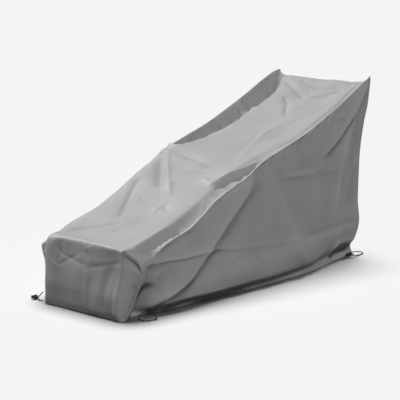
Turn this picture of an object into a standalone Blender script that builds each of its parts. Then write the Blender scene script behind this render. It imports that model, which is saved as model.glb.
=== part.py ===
"""Weather cover of a garden lounger: a long centre strip sewn to two wedge-shaped sides, with a hem drawcord.

The cover hangs over a lounger that isn't built, foot end towards -Y, head towards +Y, +Z up, in metres.
The origin is on the ground under the middle. The cloth is hollow underneath and open at the hem.
"""
import math
from typing import NamedTuple

import bmesh
import bpy
import numpy as np
from mathutils import Vector

# Driving sizes.
FOOT_Y = -1.015            # where the foot hem stands
CLOTH = 0.0015             # thickness of the woven cloth
SEAM_SETBACK = 0.0045      # how far each cut edge stops short of the seam line
RAIL_SHARE = 0.78          # the chair's rails, as a share of the strip's half width
RAIL_SOFTNESS = 0.15       # how gently the cloth turns over a rail, in the same shares
TUCK_HEIGHT = 0.045        # height of the fold above which the drawn-in hem turns under
TUCK_FADE = 0.25           # height over which the bulge above that fold dies away
SIDE_COLUMNS = 34
SIDE_ROWS_ABOVE = 10
CORD_DIAMETER = 0.0054
CORD_STEP = 2.4            # diameters between the points of a cord

CLOTH_GREY = (0.33, 0.33, 0.335, 1.0)
SIDE_GREY = (0.31, 0.31, 0.315, 1.0)
CORD_BLACK = (0.012, 0.012, 0.013, 1.0)
LOCK_BLACK = (0.015, 0.015, 0.016, 1.0)


class Station(NamedTuple):
    """One section across the strip. y is measured from the foot hem, z from the ground, out from the middle."""
    name: str
    rail_y: float
    rail_z: float
    rail_out: float
    rail_mid: float        # sideways lean of the chair under the cloth
    seam_y: float
    seam_z: float
    seam_out: float
    sag: float             # how far the cloth sinks between the rails
    hang: float            # how far it sinks between a rail and its seam


class HemPoint(NamedTuple):
    """One point of a side panel's hem on the ground."""
    y: float
    out: float
    tuck: float            # how far the fold above stands out past the hem


class Fold(NamedTuple):
    """A fold of a side panel, along a line from the first to the last point, by way of the middle one."""
    name: str
    start: tuple
    middle: tuple
    end: tuple
    ridge: float
    ridge_width: float
    trough: float
    trough_offset: float   # distance of the trough behind the ridge
    trough_width: float


STATIONS = (
    Station("foot hem", 0.000, 0.000, 0.262, 0.000, 0.015, 0.000, 0.296, 0.000, 0.000),
    Station("foot tuck", -0.006, 0.045, 0.265, 0.000, 0.028, 0.040, 0.310, 0.000, 0.004),
    Station("foot low", -0.006, 0.105, 0.270, 0.000, 0.040, 0.088, 0.325, 0.000, 0.008),
    Station("foot middle", 0.000, 0.175, 0.276, 0.000, 0.050, 0.145, 0.345, 0.000, 0.012),
    Station("foot high", 0.008, 0.245, 0.282, 0.002, 0.060, 0.195, 0.360, 0.000, 0.014),
    Station("foot crown", 0.015, 0.315, 0.286, 0.008, 0.068, 0.245, 0.365, 0.000, 0.012),
    Station("foot edge", 0.024, 0.350, 0.284, 0.014, 0.073, 0.276, 0.365, 0.002, 0.008),
    Station("foot ear", 0.045, 0.366, 0.284, 0.014, 0.078, 0.290, 0.364, 0.004, 0.006),
    Station("toes", 0.110, 0.377, 0.286, 0.010, 0.150, 0.315, 0.362, 0.006, 0.014),
    Station("ankles", 0.210, 0.402, 0.288, 0.004, 0.220, 0.356, 0.361, 0.008, 0.016),
    Station("shins", 0.310, 0.432, 0.286, 0.000, 0.310, 0.388, 0.360, 0.008, 0.014),
    Station("calves", 0.420, 0.466, 0.284, 0.000, 0.420, 0.416, 0.360, 0.008, 0.012),
    Station("knees", 0.520, 0.505, 0.284, 0.000, 0.520, 0.467, 0.360, 0.008, 0.008),
    Station("thighs", 0.620, 0.555, 0.284, 0.000, 0.620, 0.528, 0.360, 0.008, 0.006),
    Station("seat", 0.750, 0.612, 0.284, 0.000, 0.750, 0.580, 0.360, 0.008, 0.010),
    Station("hips", 0.860, 0.656, 0.286, 0.000, 0.870, 0.618, 0.360, 0.008, 0.010),
    Station("arm rest", 1.000, 0.706, 0.290, 0.000, 1.010, 0.690, 0.361, 0.008, 0.004),
    Station("waist", 1.180, 0.740, 0.284, 0.010, 1.180, 0.741, 0.361, 0.008, 0.008),
    Station("ribs", 1.380, 0.786, 0.276, 0.020, 1.380, 0.802, 0.361, 0.008, 0.016),
    Station("chest", 1.580, 0.860, 0.270, 0.025, 1.580, 0.880, 0.360, 0.010, 0.022),
    Station("shoulders", 1.760, 0.932, 0.266, 0.025, 1.760, 0.957, 0.358, 0.012, 0.024),
    Station("neck", 1.900, 0.996, 0.264, 0.025, 1.900, 1.024, 0.354, 0.012, 0.022),
    Station("head edge", 1.985, 1.035, 0.264, 0.025, 2.000, 1.064, 0.346, 0.012, 0.014),
    Station("head crown", 2.010, 1.042, 0.264, 0.025, 2.030, 1.072, 0.339, 0.012, 0.010),
    Station("back top", 2.024, 1.020, 0.264, 0.025, 2.026, 1.045, 0.340, 0.010, 0.010),
    Station("back high", 2.020, 0.900, 0.262, 0.020, 2.005, 0.930, 0.343, 0.004, 0.010),
    Station("back upper", 2.010, 0.760, 0.262, 0.010, 1.985, 0.800, 0.329, 0.000, 0.010),
    Station("back middle", 1.995, 0.560, 0.262, 0.000, 1.965, 0.600, 0.318, 0.000, 0.010),
    Station("back lower", 1.985, 0.330, 0.262, 0.000, 1.960, 0.350, 0.316, 0.000, 0.008),
    Station("back bulge", 1.985, 0.220, 0.262, 0.000, 1.960, 0.225, 0.329, 0.000, 0.006),
    Station("back low", 1.980, 0.110, 0.258, 0.000, 1.960, 0.105, 0.297, 0.000, 0.004),
    Station("back hollow", 1.974, 0.055, 0.252, 0.000, 1.958, 0.055, 0.264, 0.000, 0.000),
    Station("back hem", 1.970, 0.000, 0.255, 0.000, 1.960, 0.000, 0.297, 0.000, 0.000),
)

HEM = (
    HemPoint(0.015, 0.296, 0.004),
    HemPoint(0.050, 0.284, 0.006),
    HemPoint(0.110, 0.280, 0.010),
    HemPoint(0.220, 0.288, 0.014),
    HemPoint(0.260, 0.303, 0.020),
    HemPoint(0.430, 0.321, 0.024),
    HemPoint(0.600, 0.327, 0.028),
    HemPoint(0.770, 0.338, 0.030),
    HemPoint(0.950, 0.355, 0.028),
    HemPoint(1.160, 0.364, 0.026),
    HemPoint(1.340, 0.368, 0.022),
    HemPoint(1.480, 0.358, 0.018),
    HemPoint(1.705, 0.316, 0.010),
    HemPoint(1.830, 0.300, 0.000),
    HemPoint(1.960, 0.297, 0.000),
)

# How far the left seam is drawn in beyond the right one, at distances along the strip.
LEFT_DRAWN_RUNS = (0.00, 0.06, 0.17, 0.27, 0.33, 0.38, 0.45)
LEFT_DRAWN_IN = (0.000, 0.010, 0.030, 0.024, 0.002, -0.012, 0.000)

# How much lower the left seam lies beside the arm rest, at distances along the strip.
LEFT_LOW_RUNS = (0.78, 0.90, 1.00, 1.10, 1.22)
LEFT_LOW = (0.000, 0.018, 0.032, 0.020, 0.000)

# Points are (distance from the foot, height), heights and widths in metres.
RIGHT_FOLDS = (
    Fold("arm rest to foot", (0.93, 0.60), (0.50, 0.243), (0.15, 0.045), 0.010, 0.060, 0.016, 0.050, 0.038),
    Fold("arm rest to hem", (1.08, 0.60), (1.22, 0.330), (1.40, 0.040), 0.010, 0.050, 0.007, -0.060, 0.050),
    Fold("peak to middle", (1.98, 1.03), (1.82, 0.859), (1.48, 0.630), 0.014, 0.045, 0.010, 0.060, 0.050),
    Fold("peak to hem", (1.90, 0.86), (1.775, 0.560), (1.70, 0.240), 0.012, 0.050, 0.006, 0.080, 0.050),
)
LEFT_FOLDS = (
    Fold("arm rest to foot", (0.95, 0.62), (0.60, 0.330), (0.32, 0.060), 0.010, 0.060, 0.012, 0.055, 0.042),
    Fold("arm rest to hem", (1.06, 0.62), (1.15, 0.350), (1.30, 0.050), 0.009, 0.055, 0.006, -0.060, 0.050),
    Fold("peak to middle", (1.98, 1.03), (1.78, 0.800), (1.45, 0.560), 0.012, 0.050, 0.010, 0.060, 0.050),
)


def monotone(knots, values, at):
    """A smooth curve through the values that never overshoots them."""
    knots = np.asarray(knots, float)
    values = np.asarray(values, float)
    at = np.clip(at, knots[0], knots[-1])
    step = np.diff(knots)
    slope = np.diff(values) / step
    before, after = slope[:-1], slope[1:]
    rising = before * after > 0
    weight_before = 2 * step[1:] + step[:-1]
    weight_after = step[1:] + 2 * step[:-1]
    inner = np.zeros(len(before))
    inner[rising] = (weight_before + weight_after)[rising] / (
        weight_before[rising] / before[rising] + weight_after[rising] / after[rising])
    tangent = np.concatenate((slope[:1], inner, slope[-1:]))
    i = np.clip(np.searchsorted(knots, at, side="right") - 1, 0, len(step) - 1)
    q = (at - knots[i]) / step[i]
    ends = values[i] * (1 + 2 * q) * (1 - q) ** 2 + values[i + 1] * q * q * (3 - 2 * q)
    return ends + step[i] * (tangent[i] * q * (1 - q) ** 2 - tangent[i + 1] * q * q * (1 - q))


def station_runs():
    """Distance of each station along the strip, measured over the rails from the foot hem."""
    steps = [math.dist(a[1:3], b[1:3]) for a, b in zip(STATIONS, STATIONS[1:])]
    return np.concatenate(([0.0], np.cumsum(steps)))


RUNS = station_runs()
NAMES = [station.name for station in STATIONS]
EAR_RUN = RUNS[NAMES.index("foot ear")]
PEAK_RUN = RUNS[NAMES.index("head crown")]
END_RUN = RUNS[-1]


def column(name, run):
    """One column of the station table at any distance along the strip."""
    return monotone(RUNS, [getattr(station, name) for station in STATIONS], run)


def into_cover(run):
    """Unit direction into the cover: back from the foot drop, down from the top, forward from the back drop."""
    turn = 0.03
    past_foot = 0.5 + 0.5 * np.tanh((run - EAR_RUN + 0.02) / turn)
    past_head = 0.5 + 0.5 * np.tanh((run - PEAK_RUN - 0.01) / turn)
    direction = np.stack([0 * run, 1 - past_foot - past_head, past_head - past_foot], -1)
    return direction / np.linalg.norm(direction, axis=-1, keepdims=True)


def strip_point(run, across):
    """A point of the centre panel; across runs from -1 at the left seam to 1 at the right one."""
    run, across = np.broadcast_arrays(np.asarray(run, float), np.asarray(across, float))
    side = np.where(across < 0, -1.0, 1.0)
    rail_out, rail_mid = column("rail_out", run), column("rail_mid", run)
    rail_y, rail_z = column("rail_y", run), column("rail_z", run)
    past_rail = (np.abs(across) - RAIL_SHARE) / (1 - RAIL_SHARE)
    turned = past_rail + np.sqrt(past_rail ** 2 + RAIL_SOFTNESS ** 2)
    turned = turned / (1 + math.sqrt(1 + RAIL_SOFTNESS ** 2))
    flat_x = rail_mid + rail_out * across / RAIL_SHARE
    edge_x = rail_mid + side * rail_out / RAIL_SHARE
    x = flat_x + turned * (side * column("seam_out", run) - edge_x)
    x = x + np.where(side < 0, turned, 0) * monotone(LEFT_DRAWN_RUNS, LEFT_DRAWN_IN, run)
    y = rail_y + turned * (column("seam_y", run) - rail_y)
    z = rail_z + turned * (column("seam_z", run) - rail_z)
    z = z - np.where(side < 0, turned, 0) * monotone(LEFT_LOW_RUNS, LEFT_LOW, run)
    beyond = np.clip(turned, 0, 1)
    depth = column("sag", run) * np.clip(1 - (across / RAIL_SHARE) ** 2, 0, 1)
    depth = depth + column("hang", run) * 4 * beyond * (1 - beyond)
    return np.stack([x, y + FOOT_Y, z], -1) + into_cover(run) * depth[..., None]


def fold_offset(folds, y, z):
    """How far the folds push a side panel out at a distance from the foot and a height."""
    out = np.zeros(np.shape(y))
    for fold in folds:
        line = [np.array(fold.start), np.array(fold.middle), np.array(fold.end)]
        knots = np.linspace(0, 1, 3)
        path = np.stack([monotone(knots, [p[k] for p in line], np.linspace(0, 1, 40)) for k in (0, 1)], -1)
        ahead = np.gradient(path, axis=0)
        ahead /= np.linalg.norm(ahead, axis=-1, keepdims=True)
        here = np.stack([y, z], -1)[..., None, :] - path
        nearest = np.argmin(np.sum(here ** 2, -1), -1)
        here = np.take_along_axis(here, nearest[..., None, None], -2)[..., 0, :]
        along = ahead[nearest]
        # Behind a fold is its head side, whichever way its line runs.
        behind = here[..., 0] * along[..., 1] - here[..., 1] * along[..., 0]
        behind = -behind * np.sign(along[..., 1])
        beyond_end = np.abs(np.sum(here * along, -1))
        share = nearest / (len(path) - 1)
        fade = np.exp(-(beyond_end / fold.ridge_width) ** 2) * np.clip(4 * np.minimum(share + 0.1, 1.1 - share), 0, 1)
        ridge = fold.ridge * np.exp(-(behind / fold.ridge_width) ** 2)
        trough = fold.trough * np.exp(-((behind - fold.trough_offset) / fold.trough_width) ** 2)
        out = out + fade * (ridge - trough)
    return out


def side_point(u, v, side, folds):
    """A point of a side panel: u from the foot seam to the back seam, v from the hem to the top seam."""
    u, v = np.broadcast_arrays(np.asarray(u, float), np.asarray(v, float))
    top = strip_point(EAR_RUN + u * (PEAK_RUN - EAR_RUN), side)
    foot = strip_point(v * EAR_RUN, side)
    back = strip_point(END_RUN - v * (END_RUN - PEAK_RUN), side)
    hem_y = HEM[0].y + u * (HEM[-1].y - HEM[0].y)
    hem_knots = [point.y for point in HEM]
    hem_out = monotone(hem_knots, [point.out for point in HEM], hem_y)
    hem = np.stack([side * hem_out, hem_y + FOOT_Y, np.zeros_like(hem_y)], -1)
    corners = [strip_point(run, side) for run in (0.0, END_RUN, EAR_RUN, PEAK_RUN)]
    a, b = u[..., None], v[..., None]
    twist = (1 - a) * (1 - b) * corners[0] + a * (1 - b) * corners[1] + (1 - a) * b * corners[2] + a * b * corners[3]
    point = (1 - b) * hem + b * top + (1 - a) * foot + a * back - twist
    z = point[..., 2]
    rising = np.sin(np.clip(z / TUCK_HEIGHT, 0, 1) * math.pi / 2)
    bulge = np.where(z < TUCK_HEIGHT, rising, np.exp(-(z - TUCK_HEIGHT) / TUCK_FADE))
    bulge = bulge * monotone(hem_knots, [p.tuck for p in HEM], hem_y)
    bulge = bulge + fold_offset(folds, point[..., 1] - FOOT_Y, z)
    near_seam = np.minimum(np.minimum(u, 1 - u) / 0.03, (1 - v) / 0.05)
    point[..., 0] += side * bulge * np.clip(near_seam, 0, 1)
    return point


def set_material(obj, name, colour, roughness):
    """Give the object its own plain finish."""
    material = bpy.data.materials.new(name)
    material.use_nodes = True
    shader = material.node_tree.nodes["Principled BSDF"]
    shader.inputs["Base Color"].default_value = colour
    shader.inputs["Roughness"].default_value = roughness
    shader.inputs["Metallic"].default_value = 0.0
    obj.data.materials.append(material)


def add_to(collection, obj):
    """Link a new object into the cover's collection."""
    collection.objects.link(obj)
    return obj


def draped_sheet(collection, name, rows, columns, place, outward, colour):
    """A flat grid laid over the place function, then given the cloth's thickness.

    place maps arrays of row and column shares, both 0 to 1, to points; outward is a point of view from which
    the sheet's right side is seen.
    """
    mesh = bpy.data.meshes.new(name)
    bm = bmesh.new()
    bmesh.ops.create_grid(bm, x_segments=len(rows) - 1, y_segments=len(columns) - 1, size=0.5)
    grid = np.array([vertex.co[:2] for vertex in bm.verts]) + 0.5
    row = np.rint(grid[:, 0] * (len(rows) - 1)).astype(int)
    col = np.rint(grid[:, 1] * (len(columns) - 1)).astype(int)
    for vertex, point in zip(bm.verts, place(np.array(rows)[row], np.array(columns)[col])):
        vertex.co = point
    bm.faces.ensure_lookup_table()
    bm.normal_update()
    middle = bm.faces[len(bm.faces) // 2]
    if middle.normal.dot(Vector(outward) - middle.calc_center_median()) < 0:
        bmesh.ops.reverse_faces(bm, faces=bm.faces[:])
    bm.to_mesh(mesh)
    bm.free()
    obj = add_to(collection, bpy.data.objects.new(name, mesh))
    thickness = obj.modifiers.new("cloth", "SOLIDIFY")
    thickness.thickness = CLOTH
    thickness.offset = -1.0
    thickness.use_even_offset = True
    obj.data.shade_smooth()
    set_material(obj, name + "_cloth", colour, 0.62)
    return obj


def build_centre_panel(collection):
    """The long strip: foot drop, sloping top and back drop in one piece."""
    halfway = (RUNS[1:] + RUNS[:-1]) / 2
    rows = np.sort(np.concatenate((RUNS, halfway)))
    edge = 1 - SEAM_SETBACK / 0.36
    half = (edge, 0.95, 0.89, 0.83, 0.77, 0.68, 0.50, 0.25)
    columns = [-share for share in half] + [0.0] + list(reversed(half))
    return draped_sheet(collection, "centre_panel", rows, columns, strip_point, (0, -0.5, 3.0), CLOTH_GREY)


def build_side_panel(collection, name, side, folds):
    """A wedge sewn to the strip along its foot, top and back edges, drawn in along the hem."""
    edge = SEAM_SETBACK / 1.96
    columns = np.concatenate(([edge, 0.012, 0.03, 0.055], np.linspace(0.09, 0.955, SIDE_COLUMNS - 6), [0.98, 1 - edge]))
    low = (0.0, 0.018, 0.034, TUCK_HEIGHT, 0.060, 0.090)
    rows = np.arange(len(low) + SIDE_ROWS_ABOVE)

    def place(u, row):
        top = strip_point(EAR_RUN + u * (PEAK_RUN - EAR_RUN), side)[:, 2]
        above = (row - len(low) + 1) / SIDE_ROWS_ABOVE
        height = np.where(row < len(low), np.array(low)[np.minimum(row, len(low) - 1)],
                          low[-1] + above * (top - SEAM_SETBACK - low[-1]))
        return side_point(u, height / top, float(side), folds)

    return draped_sheet(collection, name, columns, rows, place, (side * 5.0, 0, 0.5), SIDE_GREY)


def smooth_route(points, step):
    """Evenly spaced points on a smooth curve through the route's own points."""
    route = np.array(points, float)
    ends = np.vstack((2 * route[0] - route[1], route, 2 * route[-1] - route[-2]))
    curve = []
    for i in range(1, len(ends) - 2):
        for q in np.linspace(0, 1, 24, endpoint=False):
            a, b, c, d = ends[i - 1:i + 3]
            curve.append(0.5 * (2 * b + (c - a) * q + (2 * a - 5 * b + 4 * c - d) * q * q
                                + (3 * b - a - 3 * c + d) * q ** 3))
    curve = np.vstack((curve, route[-1]))
    run = np.concatenate(([0], np.cumsum(np.linalg.norm(np.diff(curve, axis=0), axis=1))))
    count = max(4, int(round(run[-1] / step)) + 1)
    even = np.linspace(0, run[-1], count)
    return np.stack([np.interp(even, run, curve[:, k]) for k in range(3)], -1)


def build_cord(collection, name, route):
    """A round cord along a route."""
    curve = bpy.data.curves.new(name, "CURVE")
    curve.dimensions = "3D"
    curve.bevel_depth = CORD_DIAMETER / 2
    curve.bevel_resolution = 2
    curve.use_fill_caps = True
    points = smooth_route(route, CORD_STEP * CORD_DIAMETER)
    spline = curve.splines.new("POLY")
    spline.points.add(len(points) - 1)
    for target, point in zip(spline.points, points):
        target.co = (*point, 1.0)
    obj = add_to(collection, bpy.data.objects.new(name, curve))
    set_material(obj, name + "_braid", CORD_BLACK, 0.75)
    return obj


# Cord lock: radius at each distance from the mouth, as shares of the full radius and length.
LOCK_PROFILE = ((0.0, 0.70), (0.08, 0.90), (0.30, 1.00), (0.58, 0.96), (0.66, 0.72), (0.90, 0.68), (1.0, 0.50))


def build_cord_lock(collection, name, mouth, axis, length, radius):
    """A barrel with a push button on its far end, turned about the line that the cord goes through on."""
    mesh = bpy.data.meshes.new(name)
    bm = bmesh.new()
    profile = [(0.0, 0.0)] + [(share * radius, run * length) for run, share in LOCK_PROFILE] + [(0.0, length)]
    rim = [bm.verts.new((r, 0, z)) for r, z in profile]
    edges = [bm.edges.new(pair) for pair in zip(rim, rim[1:])]
    bmesh.ops.spin(bm, geom=rim + edges, cent=(0, 0, 0), axis=(0, 0, 1), angle=2 * math.pi, steps=20, use_merge=True)
    bmesh.ops.remove_doubles(bm, verts=bm.verts, dist=0.00001)
    bmesh.ops.recalc_face_normals(bm, faces=bm.faces)
    bm.to_mesh(mesh)
    bm.free()
    obj = add_to(collection, bpy.data.objects.new(name, mesh))
    obj.location = mouth
    obj.rotation_euler = Vector(axis).to_track_quat("Z", "Y").to_euler()
    set_material(obj, name + "_plastic", LOCK_BLACK, 0.35)
    return obj


def build_knot(collection, name, centre, radius):
    """An overhand knot, as the lumpy ball that it looks like."""
    mesh = bpy.data.meshes.new(name)
    bm = bmesh.new()
    bmesh.ops.create_uvsphere(bm, u_segments=12, v_segments=8, radius=radius)
    for vertex in bm.verts:
        lump = 1 + 0.10 * math.sin(3 * math.atan2(vertex.co.y, vertex.co.x) + vertex.co.z / radius)
        vertex.co *= lump
    bm.to_mesh(mesh)
    bm.free()
    obj = add_to(collection, bpy.data.objects.new(name, mesh))
    obj.location = centre
    set_material(obj, name + "_braid", CORD_BLACK, 0.75)
    return obj


# Free cords, from the hem outwards. Each list is a route that was chosen by hand.
FRONT_LEFT_UPPER = ((-0.3135, -0.990, 0.050), (-0.326, -0.9915, 0.040), (-0.342, -0.9900, 0.026),
                    (-0.354, -0.9862, 0.0175), (-0.3622, -0.9819, 0.0141))
FRONT_LEFT_LOWER = ((-0.3040, -1.0030, 0.0105), (-0.318, -1.0050, 0.0060), (-0.336, -1.0020, 0.0060),
                    (-0.350, -0.9938, 0.0085), (-0.3572, -0.9882, 0.0118))
FRONT_RIGHT_LOOP = ((0.2990, -0.9040, 0.0165), (0.3045, -0.9020, 0.0190), (0.3110, -0.8970, 0.0250),
                    (0.3180, -0.8860, 0.0370), (0.3240, -0.8740, 0.0470), (0.3310, -0.8620, 0.0460),
                    (0.3400, -0.8510, 0.0340), (0.3540, -0.8470, 0.0170), (0.3700, -0.8510, 0.0050),
                    (0.3800, -0.8600, 0.0036), (0.3760, -0.8730, 0.0036), (0.3680, -0.8930, 0.0036),
                    (0.3620, -0.9120, 0.0036), (0.3520, -0.9230, 0.0036), (0.3380, -0.9240, 0.0036),
                    (0.3220, -0.9210, 0.0044), (0.3090, -0.9160, 0.0062), (0.2990, -0.9130, 0.0080))
BACK_RIGHT_TAIL = ((0.3100, 0.7950, 0.0090), (0.3120, 0.8060, 0.0110), (0.3140, 0.8170, 0.0150),
                   (0.3150, 0.8260, 0.0185))
BACK_RIGHT_LOOP = ((0.3160, 0.8912, 0.0275), (0.3165, 0.9080, 0.0300), (0.3150, 0.9300, 0.0300),
                   (0.3110, 0.9600, 0.0250), (0.3060, 0.9900, 0.0180), (0.3020, 1.0150, 0.0110),
                   (0.3040, 1.0260, 0.0060), (0.3110, 1.0200, 0.0040), (0.3180, 0.9960, 0.0036),
                   (0.3230, 0.9700, 0.0036), (0.3262, 0.9480, 0.0040))
BACK_RIGHT_RETURN = ((0.3262, 0.9338, 0.0052), (0.3240, 0.9220, 0.0080), (0.3200, 0.9080, 0.0140),
                     (0.3170, 0.8912, 0.0180))


def build_cords(collection):
    """The ends of the hem's drawcord that come out at three corners, with their locks and knots."""
    build_cord(collection, "cord_front_left_upper", FRONT_LEFT_UPPER)
    build_cord(collection, "cord_front_left_lower", FRONT_LEFT_LOWER)
    build_cord_lock(collection, "cord_lock_front_left", (-0.3625, -0.9870, 0.0131), (-0.748, -0.664, 0.0),
                    0.034, 0.0125)
    build_cord(collection, "cord_front_right_loop", FRONT_RIGHT_LOOP)
    build_cord(collection, "cord_back_right_tail", BACK_RIGHT_TAIL)
    build_knot(collection, "cord_knot_back_right", (0.3160, 0.8330, 0.0215), 0.0052)
    build_cord_lock(collection, "cord_lock_back_right", (0.3160, 0.8885, 0.0225), (0.0, -1.0, 0.0), 0.044, 0.0120)
    build_cord(collection, "cord_back_right_loop", BACK_RIGHT_LOOP)
    build_knot(collection, "cord_knot_loop", (0.3262, 0.9408, 0.0056), 0.0048)
    build_cord(collection, "cord_back_right_return", BACK_RIGHT_RETURN)


def main():
    """Build the cover in an empty scene."""
    for obj in list(bpy.data.objects):
        bpy.data.objects.remove(obj, do_unlink=True)
    collection = bpy.data.collections.new("lounge_chair_cover")
    bpy.context.scene.collection.children.link(collection)
    build_centre_panel(collection)
    build_side_panel(collection, "side_panel_right", 1, RIGHT_FOLDS)
    build_side_panel(collection, "side_panel_left", -1, LEFT_FOLDS)
    build_cords(collection)


main()
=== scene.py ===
"""Looks of a weather cover for a garden lounger: coated cloth panels, hem drawcord and cord locks.

Foot end towards -Y, head towards +Y, the side that shows towards +X, +Z up, in metres.
"""
import logging
import math
from dataclasses import dataclass
from enum import Enum
from typing import NamedTuple, Optional, Sequence

import bmesh
import bpy
import numpy as np
from mathutils import Matrix, Vector


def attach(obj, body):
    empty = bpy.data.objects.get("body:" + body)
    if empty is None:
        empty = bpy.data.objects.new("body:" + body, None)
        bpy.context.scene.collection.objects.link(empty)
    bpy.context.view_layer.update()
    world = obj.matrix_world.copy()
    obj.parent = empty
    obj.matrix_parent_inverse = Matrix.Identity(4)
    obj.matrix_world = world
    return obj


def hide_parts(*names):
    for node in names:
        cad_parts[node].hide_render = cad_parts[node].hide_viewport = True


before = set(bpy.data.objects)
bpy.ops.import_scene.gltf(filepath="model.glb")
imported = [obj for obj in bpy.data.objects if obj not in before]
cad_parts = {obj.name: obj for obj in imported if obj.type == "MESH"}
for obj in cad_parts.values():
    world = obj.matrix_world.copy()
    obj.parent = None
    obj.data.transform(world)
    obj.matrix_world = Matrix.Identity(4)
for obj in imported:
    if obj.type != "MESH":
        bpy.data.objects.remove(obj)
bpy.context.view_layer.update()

LOG = logging.getLogger("lounger_cover")

FOOT_Y = -1.015            # where the foot hem stands
CLOTH = 0.0013             # thickness of the coated cloth
SEAM_ALLOWANCE = 0.010     # cut edge turned inside along every seam
SEAM_CLEARANCE = 0.0004    # half the gap between the two turned edges
HALF_WIDTH = 0.360         # half the strip's cut width, to which shares across are scaled
RAIL_SHARE = 0.78
RAIL_SOFTNESS = 0.15
TUCK_HEIGHT = 0.055
TUCK_FADE = 0.25
TUCK_MORE = 1.25           # the finished fold against the plain one
HEM_IN = 0.006             # how far the drawcord pulls the hem in under that fold
CORD_DIAMETER = 0.0054
PRESSED_CORE = 0.006       # half width of the sharp line in a pressed crease
CREASE_STEP = 0.006        # distance between the points of a crease's path
CREASE_REACH = 3.2         # flank widths beyond which a crease is left out
PANEL_LENGTH = 2.0         # a side panel from seam to seam, to which its columns are scaled
FLOOR_Z = -0.0004
RELIEF_FULL = 0.010        # lift at which a ridge is fully worn and a hollow fully darkened with painted shade


class Side(Enum):
    """The two wedge-shaped sides of the cover, with the sign of their X."""

    RIGHT = 1
    LEFT = -1


class Station(NamedTuple):
    """One section across the strip: y from the foot hem, z from the ground, out from the middle."""

    name: str
    rail_y: float
    rail_z: float
    rail_out: float
    rail_mid: float
    seam_y: float
    seam_z: float
    seam_out: float
    sag: float
    hang: float


class HemPoint(NamedTuple):
    """One point of a side panel's hem, with how far the fold above it stands out."""

    y: float
    out: float
    tuck: float


class Crease(NamedTuple):
    """A fold line on a panel.

    The path is in the panel's own measures: (across, run) on the strip, (distance from the foot, height) on a
    side. height is positive for a ridge. left and right are the widths of its flanks beside the line's
    direction. sharp is 0 for a soft roll and 1 for a pressed edge.
    """

    name: str
    path: tuple
    height: float
    left: float
    right: float
    sharp: float


class Pucker(NamedTuple):
    """Small gathers beside a seam, from one distance along it to another."""

    start: float
    end: float
    height: float
    wave: float            # typical length of one gather
    reach: float           # how far they run into the panel


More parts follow.
